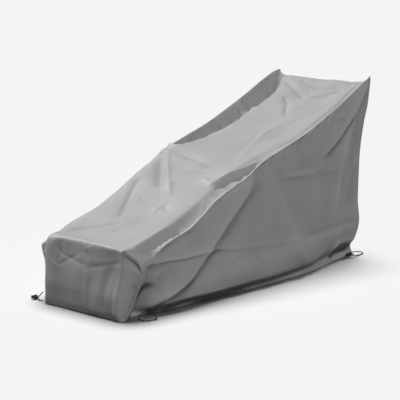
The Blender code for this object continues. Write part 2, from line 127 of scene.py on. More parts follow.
STATIONS = (
    Station("foot hem", 0.000, 0.000, 0.262, 0.000, 0.015, 0.000, 0.296, 0.000, 0.000),
    Station("foot tuck", -0.006, 0.045, 0.265, 0.000, 0.028, 0.040, 0.310, 0.000, 0.004),
    Station("foot low", -0.006, 0.105, 0.270, 0.000, 0.040, 0.088, 0.325, 0.000, 0.008),
    Station("foot middle", 0.000, 0.175, 0.276, 0.000, 0.050, 0.145, 0.345, 0.000, 0.012),
    Station("foot high", 0.008, 0.245, 0.282, 0.002, 0.060, 0.195, 0.360, 0.000, 0.014),
    Station("foot crown", 0.015, 0.315, 0.286, 0.008, 0.068, 0.245, 0.365, 0.000, 0.012),
    Station("foot edge", 0.024, 0.350, 0.284, 0.014, 0.073, 0.276, 0.365, 0.002, 0.008),
    Station("foot ear", 0.045, 0.366, 0.284, 0.014, 0.078, 0.290, 0.364, 0.004, 0.006),
    Station("toes", 0.110, 0.377, 0.286, 0.010, 0.150, 0.315, 0.362, 0.006, 0.014),
    Station("ankles", 0.210, 0.402, 0.288, 0.004, 0.220, 0.356, 0.361, 0.008, 0.016),
    Station("shins", 0.310, 0.432, 0.286, 0.000, 0.310, 0.388, 0.360, 0.008, 0.014),
    Station("calves", 0.420, 0.466, 0.284, 0.000, 0.420, 0.416, 0.360, 0.008, 0.012),
    Station("knees", 0.520, 0.505, 0.284, 0.000, 0.520, 0.467, 0.360, 0.008, 0.008),
    Station("thighs", 0.620, 0.555, 0.284, 0.000, 0.620, 0.528, 0.360, 0.008, 0.006),
    Station("seat", 0.750, 0.612, 0.284, 0.000, 0.750, 0.580, 0.360, 0.008, 0.010),
    Station("hips", 0.860, 0.656, 0.286, 0.000, 0.870, 0.618, 0.360, 0.008, 0.010),
    Station("arm rest", 1.000, 0.706, 0.290, 0.000, 1.010, 0.690, 0.361, 0.008, 0.004),
    Station("waist", 1.180, 0.740, 0.284, 0.010, 1.180, 0.741, 0.361, 0.008, 0.008),
    Station("ribs", 1.380, 0.786, 0.276, 0.020, 1.380, 0.802, 0.361, 0.008, 0.016),
    Station("chest", 1.580, 0.860, 0.270, 0.025, 1.580, 0.880, 0.360, 0.010, 0.022),
    Station("shoulders", 1.760, 0.932, 0.266, 0.025, 1.760, 0.957, 0.358, 0.012, 0.024),
    Station("neck", 1.900, 0.996, 0.264, 0.025, 1.900, 1.024, 0.354, 0.012, 0.022),
    Station("head edge", 1.985, 1.035, 0.264, 0.025, 2.000, 1.064, 0.346, 0.012, 0.014),
    Station("head crown", 2.010, 1.042, 0.264, 0.025, 2.030, 1.072, 0.339, 0.012, 0.010),
    Station("back top", 2.024, 1.020, 0.264, 0.025, 2.026, 1.045, 0.340, 0.010, 0.010),
    Station("back high", 2.020, 0.900, 0.262, 0.020, 2.005, 0.930, 0.343, 0.004, 0.010),
    Station("back upper", 2.010, 0.760, 0.262, 0.010, 1.985, 0.800, 0.329, 0.000, 0.010),
    Station("back middle", 1.995, 0.560, 0.262, 0.000, 1.965, 0.600, 0.318, 0.000, 0.010),
    Station("back lower", 1.985, 0.330, 0.262, 0.000, 1.960, 0.350, 0.316, 0.000, 0.008),
    Station("back bulge", 1.985, 0.220, 0.262, 0.000, 1.960, 0.225, 0.329, 0.000, 0.006),
    Station("back low", 1.980, 0.110, 0.258, 0.000, 1.960, 0.105, 0.297, 0.000, 0.004),
    Station("back hollow", 1.974, 0.055, 0.252, 0.000, 1.958, 0.055, 0.264, 0.000, 0.000),
    Station("back hem", 1.970, 0.000, 0.255, 0.000, 1.960, 0.000, 0.297, 0.000, 0.000),
)

HEM = (
    HemPoint(0.015, 0.296, 0.004),
    HemPoint(0.050, 0.284, 0.006),
    HemPoint(0.110, 0.280, 0.010),
    HemPoint(0.220, 0.288, 0.014),
    HemPoint(0.260, 0.303, 0.020),
    HemPoint(0.430, 0.321, 0.024),
    HemPoint(0.600, 0.327, 0.028),
    HemPoint(0.770, 0.338, 0.030),
    HemPoint(0.950, 0.355, 0.028),
    HemPoint(1.160, 0.364, 0.026),
    HemPoint(1.340, 0.368, 0.022),
    HemPoint(1.480, 0.358, 0.018),
    HemPoint(1.705, 0.316, 0.010),
    HemPoint(1.830, 0.300, 0.000),
    HemPoint(1.960, 0.297, 0.000),
)

# How far the left seam is drawn in beyond the right one, at distances along the strip.
LEFT_DRAWN_RUNS = (0.00, 0.06, 0.17, 0.27, 0.33, 0.38, 0.45)
LEFT_DRAWN_IN = (0.000, 0.010, 0.030, 0.024, 0.002, -0.012, 0.000)

# How much lower the left seam lies beside the arm rest, at distances along the strip.
LEFT_LOW_RUNS = (0.78, 0.90, 1.00, 1.10, 1.22)
LEFT_LOW = (0.000, 0.018, 0.032, 0.020, 0.000)

STRIP_CREASES = (
    Crease("foot drop, left arm of the V", ((-0.214, 0.354), (-0.16, 0.29), (0.041, 0.247)),
           -0.004, 0.022, 0.014, 0.9),
    Crease("foot drop, right arm of the V", ((0.041, 0.247), (0.15, 0.27), (0.263, 0.302)),
           -0.0036, 0.02, 0.014, 0.9),
    Crease("foot drop, upright", ((0.045, 0.243), (0.041, 0.13), (0.034, 0.03)), 0.0028, 0.02, 0.03, 0.8),
    Crease("foot edge", ((-0.26, 0.356), (-0.15, 0.366), (0.05, 0.366), (0.275, 0.358)),
           0.0128, 0.03, 0.02, 0.9),
    Crease("foot corner ridge", ((0.245, 0.36), (0.3, 0.366), (0.352, 0.376)), 0.0176, 0.025, 0.015, 0.8),
    Crease("foot corner hollow", ((0.275, 0.33), (0.315, 0.33), (0.345, 0.34)), -0.01, 0.02, 0.03, 0.2),
    Crease("foot drop, right roll", ((0.29, 0.34), (0.28, 0.14), (0.27, -0.1)), 0.008, 0.045, 0.03, 0),
    Crease("foot drop, beside the roll", ((0.335, 0.24), (0.33, 0.1), (0.326, -0.1)),
           -0.0125, 0.02, 0.02, 0.0),
    Crease("foot drop, right hollow", ((0.2, 0.29), (0.18, 0.16), (0.165, 0.02)),
           -0.005, 0.03, 0.03, 0.0),
    Crease("under the foot edge", ((-0.24, 0.318), (0.02, 0.312), (0.27, 0.322)), -0.003, 0.03, 0.03, 0),
    Crease("foot edge pucker", ((0.018, 0.391), (0.03, 0.372), (0.014, 0.352)), -0.0037, 0.01, 0.01, 0.5),
    Crease("chair back, left valley", ((-0.335, 1.42), (-0.318, 1.62), (-0.3, 1.9),
                                       (-0.3, 2.2), (-0.315, 2.5)), -0.048, 0.07, 0.032, 0.4),
    Crease("toes", ((-0.241, 0.469), (-0.054, 0.606), (0.011, 0.656)), -0.011, 0.022, 0.022, 0.9),
    Crease("toes, short", ((0.02, 0.537), (0.035, 0.56), (0.045, 0.582)), -0.006, 0.012, 0.01, 0.9),
    Crease("shin diagonal", ((-0.247, 1.077), (-0.158, 0.853), (-0.047, 0.66)),
           -0.011, 0.035, 0.022, 0.7),
    Crease("seat trough", ((-0.29, 1.31), (-0.169, 1.157), (-0.029, 0.985)), -0.018, 0.045, 0.035, 0.3),
    Crease("seat trough edge", ((-0.295, 1.369), (-0.088, 1.124), (0.086, 0.941)),
           0.013, 0.016, 0.045, 0.9),
    Crease("knee tick", ((0.092, 0.748), (0.092, 0.863), (0.144, 0.958)), 0.007, 0.014, 0.012, 0.95),
    Crease("knee tick branch", ((0.106, 0.855), (0.15, 0.825), (0.2, 0.796)), -0.007, 0.008, 0.014, 0.95),
    Crease("arm ridge", ((0.243, 1.061), (0.288, 1.225), (0.333, 1.404)), 0.013, 0.035, 0.012, 0.9),
    Crease("arm trough", ((0.285, 1.046), (0.313, 1.223), (0.345, 1.37)), -0.008, 0.014, 0.014, 0.2),
    Crease("seat cross", ((-0.214, 1.351), (-0.04, 1.31), (0.14, 1.26)), -0.012, 0.02, 0.022, 0.9),
    Crease("seat cross, short", ((-0.022, 1.184), (0.119, 1.205), (0.176, 1.207)),
           -0.009, 0.01, 0.014, 0.9),
    Crease("seat facet", ((0.153, 1.137), (0.243, 1.094), (0.292, 1.143)), 0.01, 0.015, 0.018, 0.9),
    Crease("long back line", ((0.239, 1.32), (0.12, 1.6), (0.052, 1.817), (0.151, 2.035), (0.29, 2.44)),
           0.007, 0.012, 0.022, 0.95),
    Crease("head, left diagonal", ((-0.297, 2.415), (-0.13, 2.32), (0.034, 2.228)),
           -0.012, 0.014, 0.022, 0.9),
    Crease("head, right diagonal", ((0.034, 2.228), (0.158, 2.302), (0.227, 2.364)),
           -0.01, 0.014, 0.022, 0.9),
    Crease("head sag line", ((-0.173, 2.409), (0.029, 2.368), (0.207, 2.38)), -0.012, 0.02, 0.014, 0.9),
    Crease("shoulder line", ((-0.164, 2.247), (-0.079, 2.163), (0.027, 2.008)), -0.013, 0.02, 0.015, 0.9),
    Crease("rail trough, foot", ((0.3, 0.4), (0.312, 0.559), (0.345, 0.754)), -0.0065, 0.02, 0.018, 0.2),
    Crease("rail ridge, foot", ((0.262, 0.4), (0.272, 0.559), (0.3, 0.754)), 0.0064, 0.03, 0.02, 0.6),
)

RIGHT_CREASES = (
    Crease("fold over the hem", ((0.2, 0.054), (0.6, 0.057), (1.00, 0.057), (1.52, 0.053)),
           0.003, 0.03, 0.008, 1.0),
    Crease("arm to foot ridge", ((0.95, 0.68), (0.874, 0.558), (0.676, 0.394),
                                 (0.503, 0.243), (0.387, 0.148), (0.1, 0.02)), 0.026, 0.022, 0.07, 0.85),
    Crease("arm to foot trough", ((0.99, 0.62), (0.935, 0.515), (0.76, 0.35),
                                  (0.575, 0.205), (0.42, 0.09), (0.27, 0.04)), -0.0187, 0.05, 0.04, 0.0),
    Crease("arm to hem ridge", ((1.05, 0.7), (1.099, 0.565), (1.185, 0.394),
                                (1.264, 0.247), (1.356, 0.094), (1.4, 0.02)), 0.017, 0.02, 0.05, 0.9),
    Crease("peak fold ridge", ((2.02, 1.07), (1.966, 1.022), (1.82, 0.859), (1.646, 0.722), (1.5, 0.64)),
           0.025, 0.016, 0.06, 0.95),
    Crease("peak fold trough", ((2.02, 1.00), (1.9, 0.86), (1.74, 0.725), (1.58, 0.63)),
           -0.017, 0.05, 0.03, 0.1),
    Crease("back fold", ((1.92, 0.92), (1.866, 0.81), (1.795, 0.658),
                         (1.748, 0.494), (1.717, 0.339), (1.7, 0.24)), 0.022, 0.018, 0.04, 0.85),
    Crease("back fold, short", ((1.95, 0.6), (1.9, 0.53), (1.829, 0.454)), 0.01, 0.02, 0.02, 0.8),
    Crease("back seam trough", ((1.98, 0.98), (1.92, 0.72), (1.89, 0.45), (1.89, 0.24)),
           -0.0163, 0.035, 0.035, 0.2),
    Crease("packing line, foot", ((0.08, 0.288), (0.357, 0.281), (0.587, 0.279), (0.79, 0.257)),
           0.012, 0.03, 0.012, 0.98),
    Crease("packing line, middle", ((0.7, 0.262), (1.00, 0.24), (1.188, 0.228), (1.4, 0.222)),
           0.005, 0.03, 0.012, 0.98),
    Crease("packing line, back", ((1.3, 0.222), (1.5, 0.22), (1.65, 0.217), (1.888, 0.219), (1.98, 0.222)),
           -0.016, 0.05, 0.014, 0.98),
    Crease("upper line", ((1.152, 0.594), (1.32, 0.578), (1.445, 0.571), (1.506, 0.578)),
           0.01, 0.03, 0.012, 0.98),
    Crease("upper line, hook", ((1.49, 0.574), (1.535, 0.6), (1.556, 0.645)), 0.0072, 0.02, 0.02, 0.9),
    Crease("upper line, faint", ((1.506, 0.578), (1.64, 0.566), (1.777, 0.559)), 0.004, 0.02, 0.02, 0.9),
    Crease("tick", ((0.382, 0.252), (0.395, 0.266), (0.41, 0.284)), -0.0056, 0.009, 0.009, 0.8),
    Crease("small arc", ((1.648, 0.855), (1.705, 0.868), (1.764, 0.859)), 0.008, 0.012, 0.012, 0.8),
    Crease("under the foot seam", ((0.2, 0.325), (0.35, 0.372), (0.5, 0.405)), -0.0037, 0.02, 0.02, 0.2),
    Crease("foot seam trough", ((0.135, 0.3), (0.125, 0.2), (0.12, 0.12), (0.105, -0.02)),
           -0.015, 0.03, 0.025, 0.1),
    Crease("foot seam recess", ((0.118, 0.19), (0.108, 0.1), (0.095, -0.06)), -0.062, 0.045, 0.026, 0),
    Crease("foot panel roll", ((0.19, 0.25), (0.18, 0.15), (0.175, 0.05)), 0.0075, 0.04, 0.02, 0.2),
    Crease("hollow rim", ((1.665, 0.0), (1.7, 0.081), (1.78, 0.104), (1.9, 0.104), (1.97, 0.104)),
           0.0128, 0.02, 0.014, 0.6),
    Crease("hem fan, left", ((1.405, 0.05), (1.43, 0.1), (1.47, 0.16)), 0.0048, 0.02, 0.02, 0.6),
    Crease("hem fan, right", ((1.42, 0.04), (1.52, 0.09), (1.6, 0.13)), 0.0048, 0.02, 0.02, 0.6),
)

LEFT_CREASES = (
    Crease("arm to foot ridge", ((0.98, 0.68), (0.86, 0.5), (0.62, 0.31), (0.34, 0.08)),
           0.015, 0.03, 0.07, 0.5),
    Crease("arm to foot trough", ((1.00, 0.62), (0.9, 0.46), (0.68, 0.28), (0.44, 0.08)),
           -0.0163, 0.045, 0.03, 0.1),
    Crease("arm to hem ridge", ((1.05, 0.7), (1.09, 0.5), (1.17, 0.28), (1.26, 0.04)),
           0.0112, 0.03, 0.05, 0.5),
    Crease("peak fold ridge", ((2.02, 1.07), (1.9, 0.9), (1.7, 0.72), (1.48, 0.56)),
           0.015, 0.03, 0.06, 0.5),
    Crease("peak fold trough", ((2.00, 0.98), (1.84, 0.8), (1.62, 0.6)), -0.0125, 0.05, 0.03, 0.1),
    Crease("back fold", ((1.93, 0.9), (1.84, 0.66), (1.8, 0.4), (1.79, 0.22)), 0.0125, 0.035, 0.035, 0.3),
    Crease("packing line", ((0.1, 0.285), (0.6, 0.275), (1.1, 0.235), (1.6, 0.22), (1.96, 0.22)),
           0.0064, 0.03, 0.03, 0.9),
    Crease("upper line", ((1.1, 0.59), (1.4, 0.57), (1.75, 0.565)), 0.0056, 0.03, 0.03, 0.9),
    Crease("foot seam trough", ((0.135, 0.3), (0.12, 0.12), (0.105, -0.02)), -0.0175, 0.03, 0.03, 0.1),
)

STRIP_PUCKERS = {
    Side.RIGHT: (
        Pucker(0.10, 0.33, 0.0020, 0.030, 0.040),
        Pucker(0.40, 1.40, 0.0050, 0.036, 0.050),
        Pucker(1.40, 2.45, 0.0020, 0.060, 0.040),
        Pucker(2.55, 3.45, 0.0040, 0.070, 0.060),
    ),
    Side.LEFT: (
        Pucker(0.10, 0.33, 0.0020, 0.030, 0.040),
        Pucker(0.40, 1.30, 0.0035, 0.050, 0.050),
        Pucker(1.36, 2.45, 0.0190, 0.060, 0.080),
        Pucker(1.40, 2.45, 0.0120, 0.024, 0.055),
        Pucker(2.55, 3.45, 0.0040, 0.070, 0.060),
    ),
}
SIDE_PUCKERS = (
    Pucker(0.10, 1.00, 0.0045, 0.032, 0.035),
    Pucker(1.02, 1.80, 0.0120, 0.042, 0.050),
    Pucker(1.80, 2.00, 0.0025, 0.050, 0.035),
)


def monotone(knots: Sequence[float], values: Sequence[float], at: np.ndarray) -> np.ndarray:
    """A smooth curve through the values that never overshoots them.

    Args:
        knots: rising places of the values.
        values: the values.
        at: where the curve is read.

    Returns:
        The curve's values, in the shape of at.
    """
    knots = np.asarray(knots, float)
    values = np.asarray(values, float)
    at = np.clip(at, knots[0], knots[-1])
    step = np.diff(knots)
    slope = np.diff(values) / step
    before, after = slope[:-1], slope[1:]
    rising = before * after > 0
    weight_before = 2 * step[1:] + step[:-1]
    weight_after = step[1:] + 2 * step[:-1]
    inner = np.zeros(len(before))
    inner[rising] = (weight_before + weight_after)[rising] / (
        weight_before[rising] / before[rising] + weight_after[rising] / after[rising])
    tangent = np.concatenate((slope[:1], inner, slope[-1:]))
    i = np.clip(np.searchsorted(knots, at, side="right") - 1, 0, len(step) - 1)
    q = (at - knots[i]) / step[i]
    ends = values[i] * (1 + 2 * q) * (1 - q) ** 2 + values[i + 1] * q * q * (3 - 2 * q)
    return ends + step[i] * (tangent[i] * q * (1 - q) ** 2 - tangent[i + 1] * q * q * (1 - q))


def unit(vectors: np.ndarray) -> np.ndarray:
    """The vectors, each scaled to length 1."""
    return vectors / np.maximum(np.linalg.norm(vectors, axis=-1, keepdims=True), 1e-12)


def smooth_step(values: np.ndarray) -> np.ndarray:
    """0 below 0, 1 above 1 and a soft rise between."""
    share = np.clip(values, 0, 1)
    return share * share * (3 - 2 * share)


def smooth_route(points: Sequence[Sequence[float]], step: float) -> np.ndarray:
    """Evenly spaced points on a smooth curve through a route's own points.

    Args:
        points: the route's points.
        step: the distance wanted between the new points.

    Returns:
        The new points, one a row.
    """
    route = np.array(points, float)
    ends = np.vstack((2 * route[0] - route[1], route, 2 * route[-1] - route[-2]))
    curve = []
    for i in range(1, len(ends) - 2):
        a, b, c, d = ends[i - 1:i + 3]
        for q in np.linspace(0, 1, 24, endpoint=False):
            curve.append(0.5 * (2 * b + (c - a) * q + (2 * a - 5 * b + 4 * c - d) * q * q
                                + (3 * b - a - 3 * c + d) * q ** 3))
    curve = np.vstack((curve, route[-1]))
    run = np.concatenate(([0], np.cumsum(np.linalg.norm(np.diff(curve, axis=0), axis=1))))
    even = np.linspace(0, run[-1], max(4, int(round(run[-1] / step)) + 1))
    return np.stack([np.interp(even, run, curve[:, k]) for k in range(route.shape[1])], -1)


def crease_relief(creases: Sequence[Crease], first: np.ndarray, second: np.ndarray) -> np.ndarray:
    """How far the creases lift a panel.

    Args:
        creases: the panel's creases.
        first: the first of the panel's two measures, at each point.
        second: the second measure.

    Returns:
        The lift at each point, in metres.
    """
    lift = np.zeros(first.shape)
    for crease in creases:
        path = smooth_route(crease.path, CREASE_STEP)
        ahead = unit(np.gradient(path, axis=0))
        reach = CREASE_REACH * max(crease.left, crease.right)
        near = ((first > path[:, 0].min() - reach) & (first < path[:, 0].max() + reach)
                & (second > path[:, 1].min() - reach) & (second < path[:, 1].max() + reach))
        if not near.any():
            continue
        here = np.stack([first[near], second[near]], -1)[:, None, :] - path
        nearest = np.argmin(np.sum(here ** 2, -1), -1)
        here = here[np.arange(len(here)), nearest]
        along = ahead[nearest]
        beside = along[:, 0] * here[:, 1] - along[:, 1] * here[:, 0]
        beyond = np.sum(here * along, -1)
        beyond = np.where(nearest == 0, np.minimum(beyond, 0), np.where(nearest == len(path) - 1,
                                                                        np.maximum(beyond, 0), 0))
        width = np.where(beside > 0, crease.left, crease.right)
        away = np.abs(beside) / width
        pressed = np.sqrt(away * away + 0.02) - math.sqrt(0.02)
        core = np.exp(-np.abs(beside) / PRESSED_CORE)
        fold = 0.7 * np.exp(-1.3 * pressed) + 0.3 * core
        profile = (1 - crease.sharp) * np.exp(-away ** 2) + crease.sharp * fold
        share = nearest / (len(path) - 1)
        fade = smooth_step(np.minimum(share, 1 - share) * 5 + 0.10) * np.exp(-(beyond / width) ** 2)
        lift[near] += crease.height * profile * fade
    return lift


class CoverShape:
    """The cover's surfaces, worked out from the station and hem tables."""

    columns = ("rail_y", "rail_z", "rail_out", "rail_mid", "seam_y", "seam_z", "seam_out", "sag", "hang")

    def __init__(self) -> None:
        """Measures the stations along the strip."""
        steps = [math.dist(a[1:3], b[1:3]) for a, b in zip(STATIONS, STATIONS[1:])]
        self.runs = np.concatenate(([0.0], np.cumsum(steps)))
        names = [station.name for station in STATIONS]
        self.ear = float(self.runs[names.index("foot ear")])
        self.peak = float(self.runs[names.index("head crown")])
        self.end = float(self.runs[-1])

    def into_cover(self, run: np.ndarray) -> np.ndarray:
        """Unit direction into the cover from each distance along the strip."""
        turn = 0.03
        past_foot = 0.5 + 0.5 * np.tanh((run - self.ear + 0.02) / turn)
        past_head = 0.5 + 0.5 * np.tanh((run - self.peak - 0.01) / turn)
        return unit(np.stack([0 * run, 1 - past_foot - past_head, past_head - past_foot], -1))

    def strip(self, run: np.ndarray, across: np.ndarray) -> np.ndarray:
        """Points of the strip without creases.

        Args:
            run: distance along the strip from the foot hem.
            across: -1 at the left seam to 1 at the right one.

        Returns:
            The points, in metres.
        """
        run, across = np.broadcast_arrays(np.asarray(run, float), np.asarray(across, float))
        at = {name: monotone(self.runs, [getattr(s, name) for s in STATIONS], run) for name in self.columns}
        side = np.where(across < 0, -1.0, 1.0)
        past_rail = (np.abs(across) - RAIL_SHARE) / (1 - RAIL_SHARE)
        turned = past_rail + np.sqrt(past_rail ** 2 + RAIL_SOFTNESS ** 2)
        turned = turned / (1 + math.sqrt(1 + RAIL_SOFTNESS ** 2))
        flat_x = at["rail_mid"] + at["rail_out"] * across / RAIL_SHARE
        edge_x = at["rail_mid"] + side * at["rail_out"] / RAIL_SHARE
        x = flat_x + turned * (side * at["seam_out"] - edge_x)
        x = x + np.where(side < 0, turned, 0) * monotone(LEFT_DRAWN_RUNS, LEFT_DRAWN_IN, run)
        y = at["rail_y"] + turned * (at["seam_y"] - at["rail_y"])
        z = at["rail_z"] + turned * (at["seam_z"] - at["rail_z"])
        z = z - np.where(side < 0, turned, 0) * monotone(LEFT_LOW_RUNS, LEFT_LOW, run)
        beyond = np.clip(turned, 0, 1)
        depth = at["sag"] * np.clip(1 - (across / RAIL_SHARE) ** 2, 0, 1)
        depth = depth + at["hang"] * 4 * beyond * (1 - beyond)
        return np.stack([x, y + FOOT_Y, z], -1) + self.into_cover(run) * depth[..., None]

    def side(self, u: np.ndarray, v: np.ndarray, side: Side) -> np.ndarray:
        """Points of a side panel without creases.

        Args:
            u: 0 at the foot seam to 1 at the back seam.
            v: 0 at the hem to 1 at the top seam.
            side: which panel.

        Returns:
            The points, in metres.
        """
        sign = float(side.value)
        u, v = np.broadcast_arrays(np.asarray(u, float), np.asarray(v, float))
        top = self.strip(self.ear + u * (self.peak - self.ear), sign)
        foot = self.strip(v * self.ear, sign)
        back = self.strip(self.end - v * (self.end - self.peak), sign)
        hem_y = HEM[0].y + u * (HEM[-1].y - HEM[0].y)
        knots = [point.y for point in HEM]
        hem_out = monotone(knots, [point.out for point in HEM], hem_y)
        hem = np.stack([sign * hem_out, hem_y + FOOT_Y, np.zeros_like(hem_y)], -1)
        low_foot, low_back, high_foot, high_back = (
            self.strip(run, sign) for run in (0.0, self.end, self.ear, self.peak))
        a, b = u[..., None], v[..., None]
        twist = ((1 - a) * (1 - b) * low_foot + a * (1 - b) * low_back
                 + (1 - a) * b * high_foot + a * b * high_back)
        point = (1 - b) * hem + b * top + (1 - a) * foot + a * back - twist
        z = point[..., 2]
        rising = z / TUCK_HEIGHT
        bulge = np.where(z < TUCK_HEIGHT, rising, np.exp(-(z - TUCK_HEIGHT) / TUCK_FADE))
        bulge = bulge * TUCK_MORE * monotone(knots, [point.tuck for point in HEM], hem_y)
        near_seam = np.minimum(np.minimum(u / 0.03, (1 - u) / 0.12), (1 - v) / 0.40)
        under = HEM_IN * np.clip(1 - z / TUCK_HEIGHT, 0, 1)
        point[..., 0] += sign * (bulge - under) * smooth_step(near_seam)
        return point

    def seam_turn(self, run: np.ndarray, side: Side) -> tuple:
        """Directions at a seam.

        Args:
            run: distance along the strip.
            side: which of its seams.

        Returns:
            The direction in which the cut edges are turned inside, and the direction from the side panel's
            turned edge to the strip's.
        """
        step = 0.002
        low, high = np.clip(run - step, 0, self.end), np.clip(run + step, 0, self.end)
        tangent = unit(self.strip(high, side.value) - self.strip(low, side.value))
        inward = self.into_cover(run)
        turn = 0.75 * inward + np.array([-0.66 * side.value, 0, 0])
        turn = unit(turn - np.sum(turn * tangent, -1, keepdims=True) * tangent)
        apart = np.cross(tangent, turn)
        apart = apart * np.sign(np.sum(apart * -inward, -1, keepdims=True))
        return turn, unit(apart)


class Unevenness:
    """Soft, seeded unevenness of cloth that has been folded, carried and pulled straight."""

    def __init__(self, seed: int, first_size: float, second_size: float) -> None:
        """Draws the waves and the small creases of one panel.

        Args:
            seed: start of the panel's own random numbers.
            first_size: length of the panel's first measure.
            second_size: length of its second measure.
        """
        draw = np.random.default_rng(seed)
        self.waves = [(draw.uniform(0, math.pi), draw.uniform(0.16, 0.45), draw.uniform(0, 2 * math.pi),
                       draw.uniform(0.0006, 0.0016)) for _ in range(9)]
        small = []
        for number in range(80):
            centre = np.array([draw.uniform(0.05, 0.95) * first_size, draw.uniform(0.06, 0.94) * second_size])
            heading = draw.uniform(0, math.pi)
            half = draw.uniform(0.02, 0.09) * np.array([math.cos(heading), math.sin(heading)])
            bend = draw.uniform(-0.010, 0.010) * np.array([-math.sin(heading), math.cos(heading)])
            small.append(Crease(f"small {number}", (tuple(centre - half), tuple(centre + bend),
                                                    tuple(centre + half)),
                                draw.choice([-1, 1]) * draw.uniform(0.0010, 0.0034),
                                draw.uniform(0.007, 0.020), draw.uniform(0.007, 0.020),
                                draw.uniform(0.6, 1.0)))
        self.small = tuple(small)

    def lift(self, first: np.ndarray, second: np.ndarray) -> np.ndarray:
        """The unevenness at each point of the panel, in metres."""
        total = crease_relief(self.small, first, second)
        for heading, wave, phase, height in self.waves:
            run = first * math.cos(heading) + second * math.sin(heading)
            total = total + height * np.sin(2 * math.pi * run / wave + phase)
        return total


def gathers(puckers: Sequence[Pucker], seed: int, run: np.ndarray, inset: np.ndarray) -> np.ndarray:
    """Small gathers beside a seam.

    Args:
        puckers: the stretches of the seam and their gathers.
        seed: start of the random numbers.
        run: distance along the seam, at each point.
        inset: distance from the seam into the panel.

    Returns:
        The lift at each point, in metres.
    """
    draw = np.random.default_rng(seed)
    lift = np.zeros(run.shape)
    for pucker in puckers:
        place = pucker.start
        while place < pucker.end:
            width = pucker.wave * draw.uniform(0.22, 0.5)
            lean = draw.uniform(-0.5, 0.5)
            height = pucker.height * draw.uniform(0.3, 1.0) * draw.choice([-1.0, 1.0], p=[0.6, 0.4])
            reach = pucker.reach * draw.uniform(0.6, 1.5)
            beside = (run - place - lean * inset) / width
            rise = np.clip(inset / 0.012, 0, 1) * np.exp(-(inset / reach) ** 2)
            lift += height * np.exp(-beside ** 2) * rise
            place += pucker.wave * draw.uniform(0.4, 1.3)
    return lift


class Socket:
    """A shader value in an expression: arithmetic on it adds Math nodes."""

    def __init__(self, bench: "Bench", socket: bpy.types.NodeSocket) -> None:
        """Wraps an output socket of the bench's node tree."""
        self.bench = bench
        self.socket = socket

    def _math(self, operation: str, *values: object) -> "Socket":
        """One Math node on the values."""
        node = self.bench.node("ShaderNodeMath", {"operation": operation}, dict(enumerate(values)))
        return Socket(self.bench, node.outputs[0])

    def __add__(self, other: object) -> "Socket":
        """self + other."""
        return self._math("ADD", self, other)

    def __sub__(self, other: object) -> "Socket":
        """self - other."""
        return self._math("SUBTRACT", self, other)

    def __rsub__(self, other: object) -> "Socket":
        """other - self."""
        return self._math("SUBTRACT", other, self)

    def __mul__(self, other: object) -> "Socket":
        """self * other."""
        return self._math("MULTIPLY", self, other)

    __radd__ = __add__
    __rmul__ = __mul__

    def sine(self) -> "Socket":
        """The sine of the value."""
        return self._math("SINE", self)

    def absolute(self) -> "Socket":
        """The value without its sign."""
        return self._math("ABSOLUTE", self)

    def remainder(self, period: float) -> "Socket":
        """The value within one period."""
        return self._math("FLOORED_MODULO", self, period)

    def below(self, limit: float) -> "Socket":
        """1 where the value is less than the limit, otherwise 0."""
        return self._math("LESS_THAN", self, limit)

    def smallest(self, other: object) -> "Socket":
        """The smaller of two values."""
        return self._math("MINIMUM", self, other)


class Bench:
    """A material's node tree and the ways to add to it."""

    def __init__(self, name: str) -> None:
        """Starts a material with a Principled shader."""
        self.material = bpy.data.materials.new(name)
        self.material.use_nodes = True
        self.tree = self.material.node_tree
        self.shader = self.tree.nodes["Principled BSDF"]

    def node(self, kind: str, settings: Optional[dict] = None,
             inputs: Optional[dict] = None) -> bpy.types.Node:
        """Adds a node.

        Args:
            kind: the node's type name.
            settings: attributes, set first; a ramp's stops are given as "stops".
            inputs: values, sockets or wrapped sockets, by input name or number.

        Returns:
            The node.
        """
        node = self.tree.nodes.new(kind)
        for name, value in (settings or {}).items():
            if name == "stops":
                ramp = node.color_ramp
                while len(ramp.elements) < len(value):
                    ramp.elements.new(0.5)
                for element, (place, colour) in zip(ramp.elements, value):
                    element.position = place
                    element.color = colour
            else:
                setattr(node, name, value)
        for name, value in (inputs or {}).items():
            self.feed(node.inputs[name], value)
        return node

    def feed(self, target: bpy.types.NodeSocket, value: object) -> None:
        """Links or sets one input socket."""
        if isinstance(value, Socket):
            value = value.socket
        if isinstance(value, bpy.types.NodeSocket):
            self.tree.links.new(value, target)
        else:
            target.default_value = value

    def wrap(self, node: bpy.types.Node, output: object = 0) -> Socket:
        """One output of a node, ready for arithmetic."""
        return Socket(self, node.outputs[output])

    def noise(self, vector: object, scale: float, detail: float = 2.0, roughness: float = 0.5) -> Socket:
        """Noise from 0 to 1 over a vector."""
        return self.wrap(self.node("ShaderNodeTexNoise", {}, {
            "Vector": vector, "Scale": scale, "Detail": detail, "Roughness": roughness}), "Fac")

    def blend(self, share: object, first: object, second: object) -> bpy.types.NodeSocket:
        """A colour between two colours."""
        node = self.node("ShaderNodeMix", {"data_type": "RGBA"}, {0: share, 6: first, 7: second})
        return node.outputs[2]

    def bump(self, height: object, distance: float, strength: float,
             normal: object = None) -> bpy.types.NodeSocket:
        """A normal bent by a height, on top of another bump if there is one."""
        inputs = {"Height": height, "Distance": distance, "Strength": strength}
        if normal is not None:
            inputs["Normal"] = normal
        return self.node("ShaderNodeBump", {}, inputs).outputs[0]


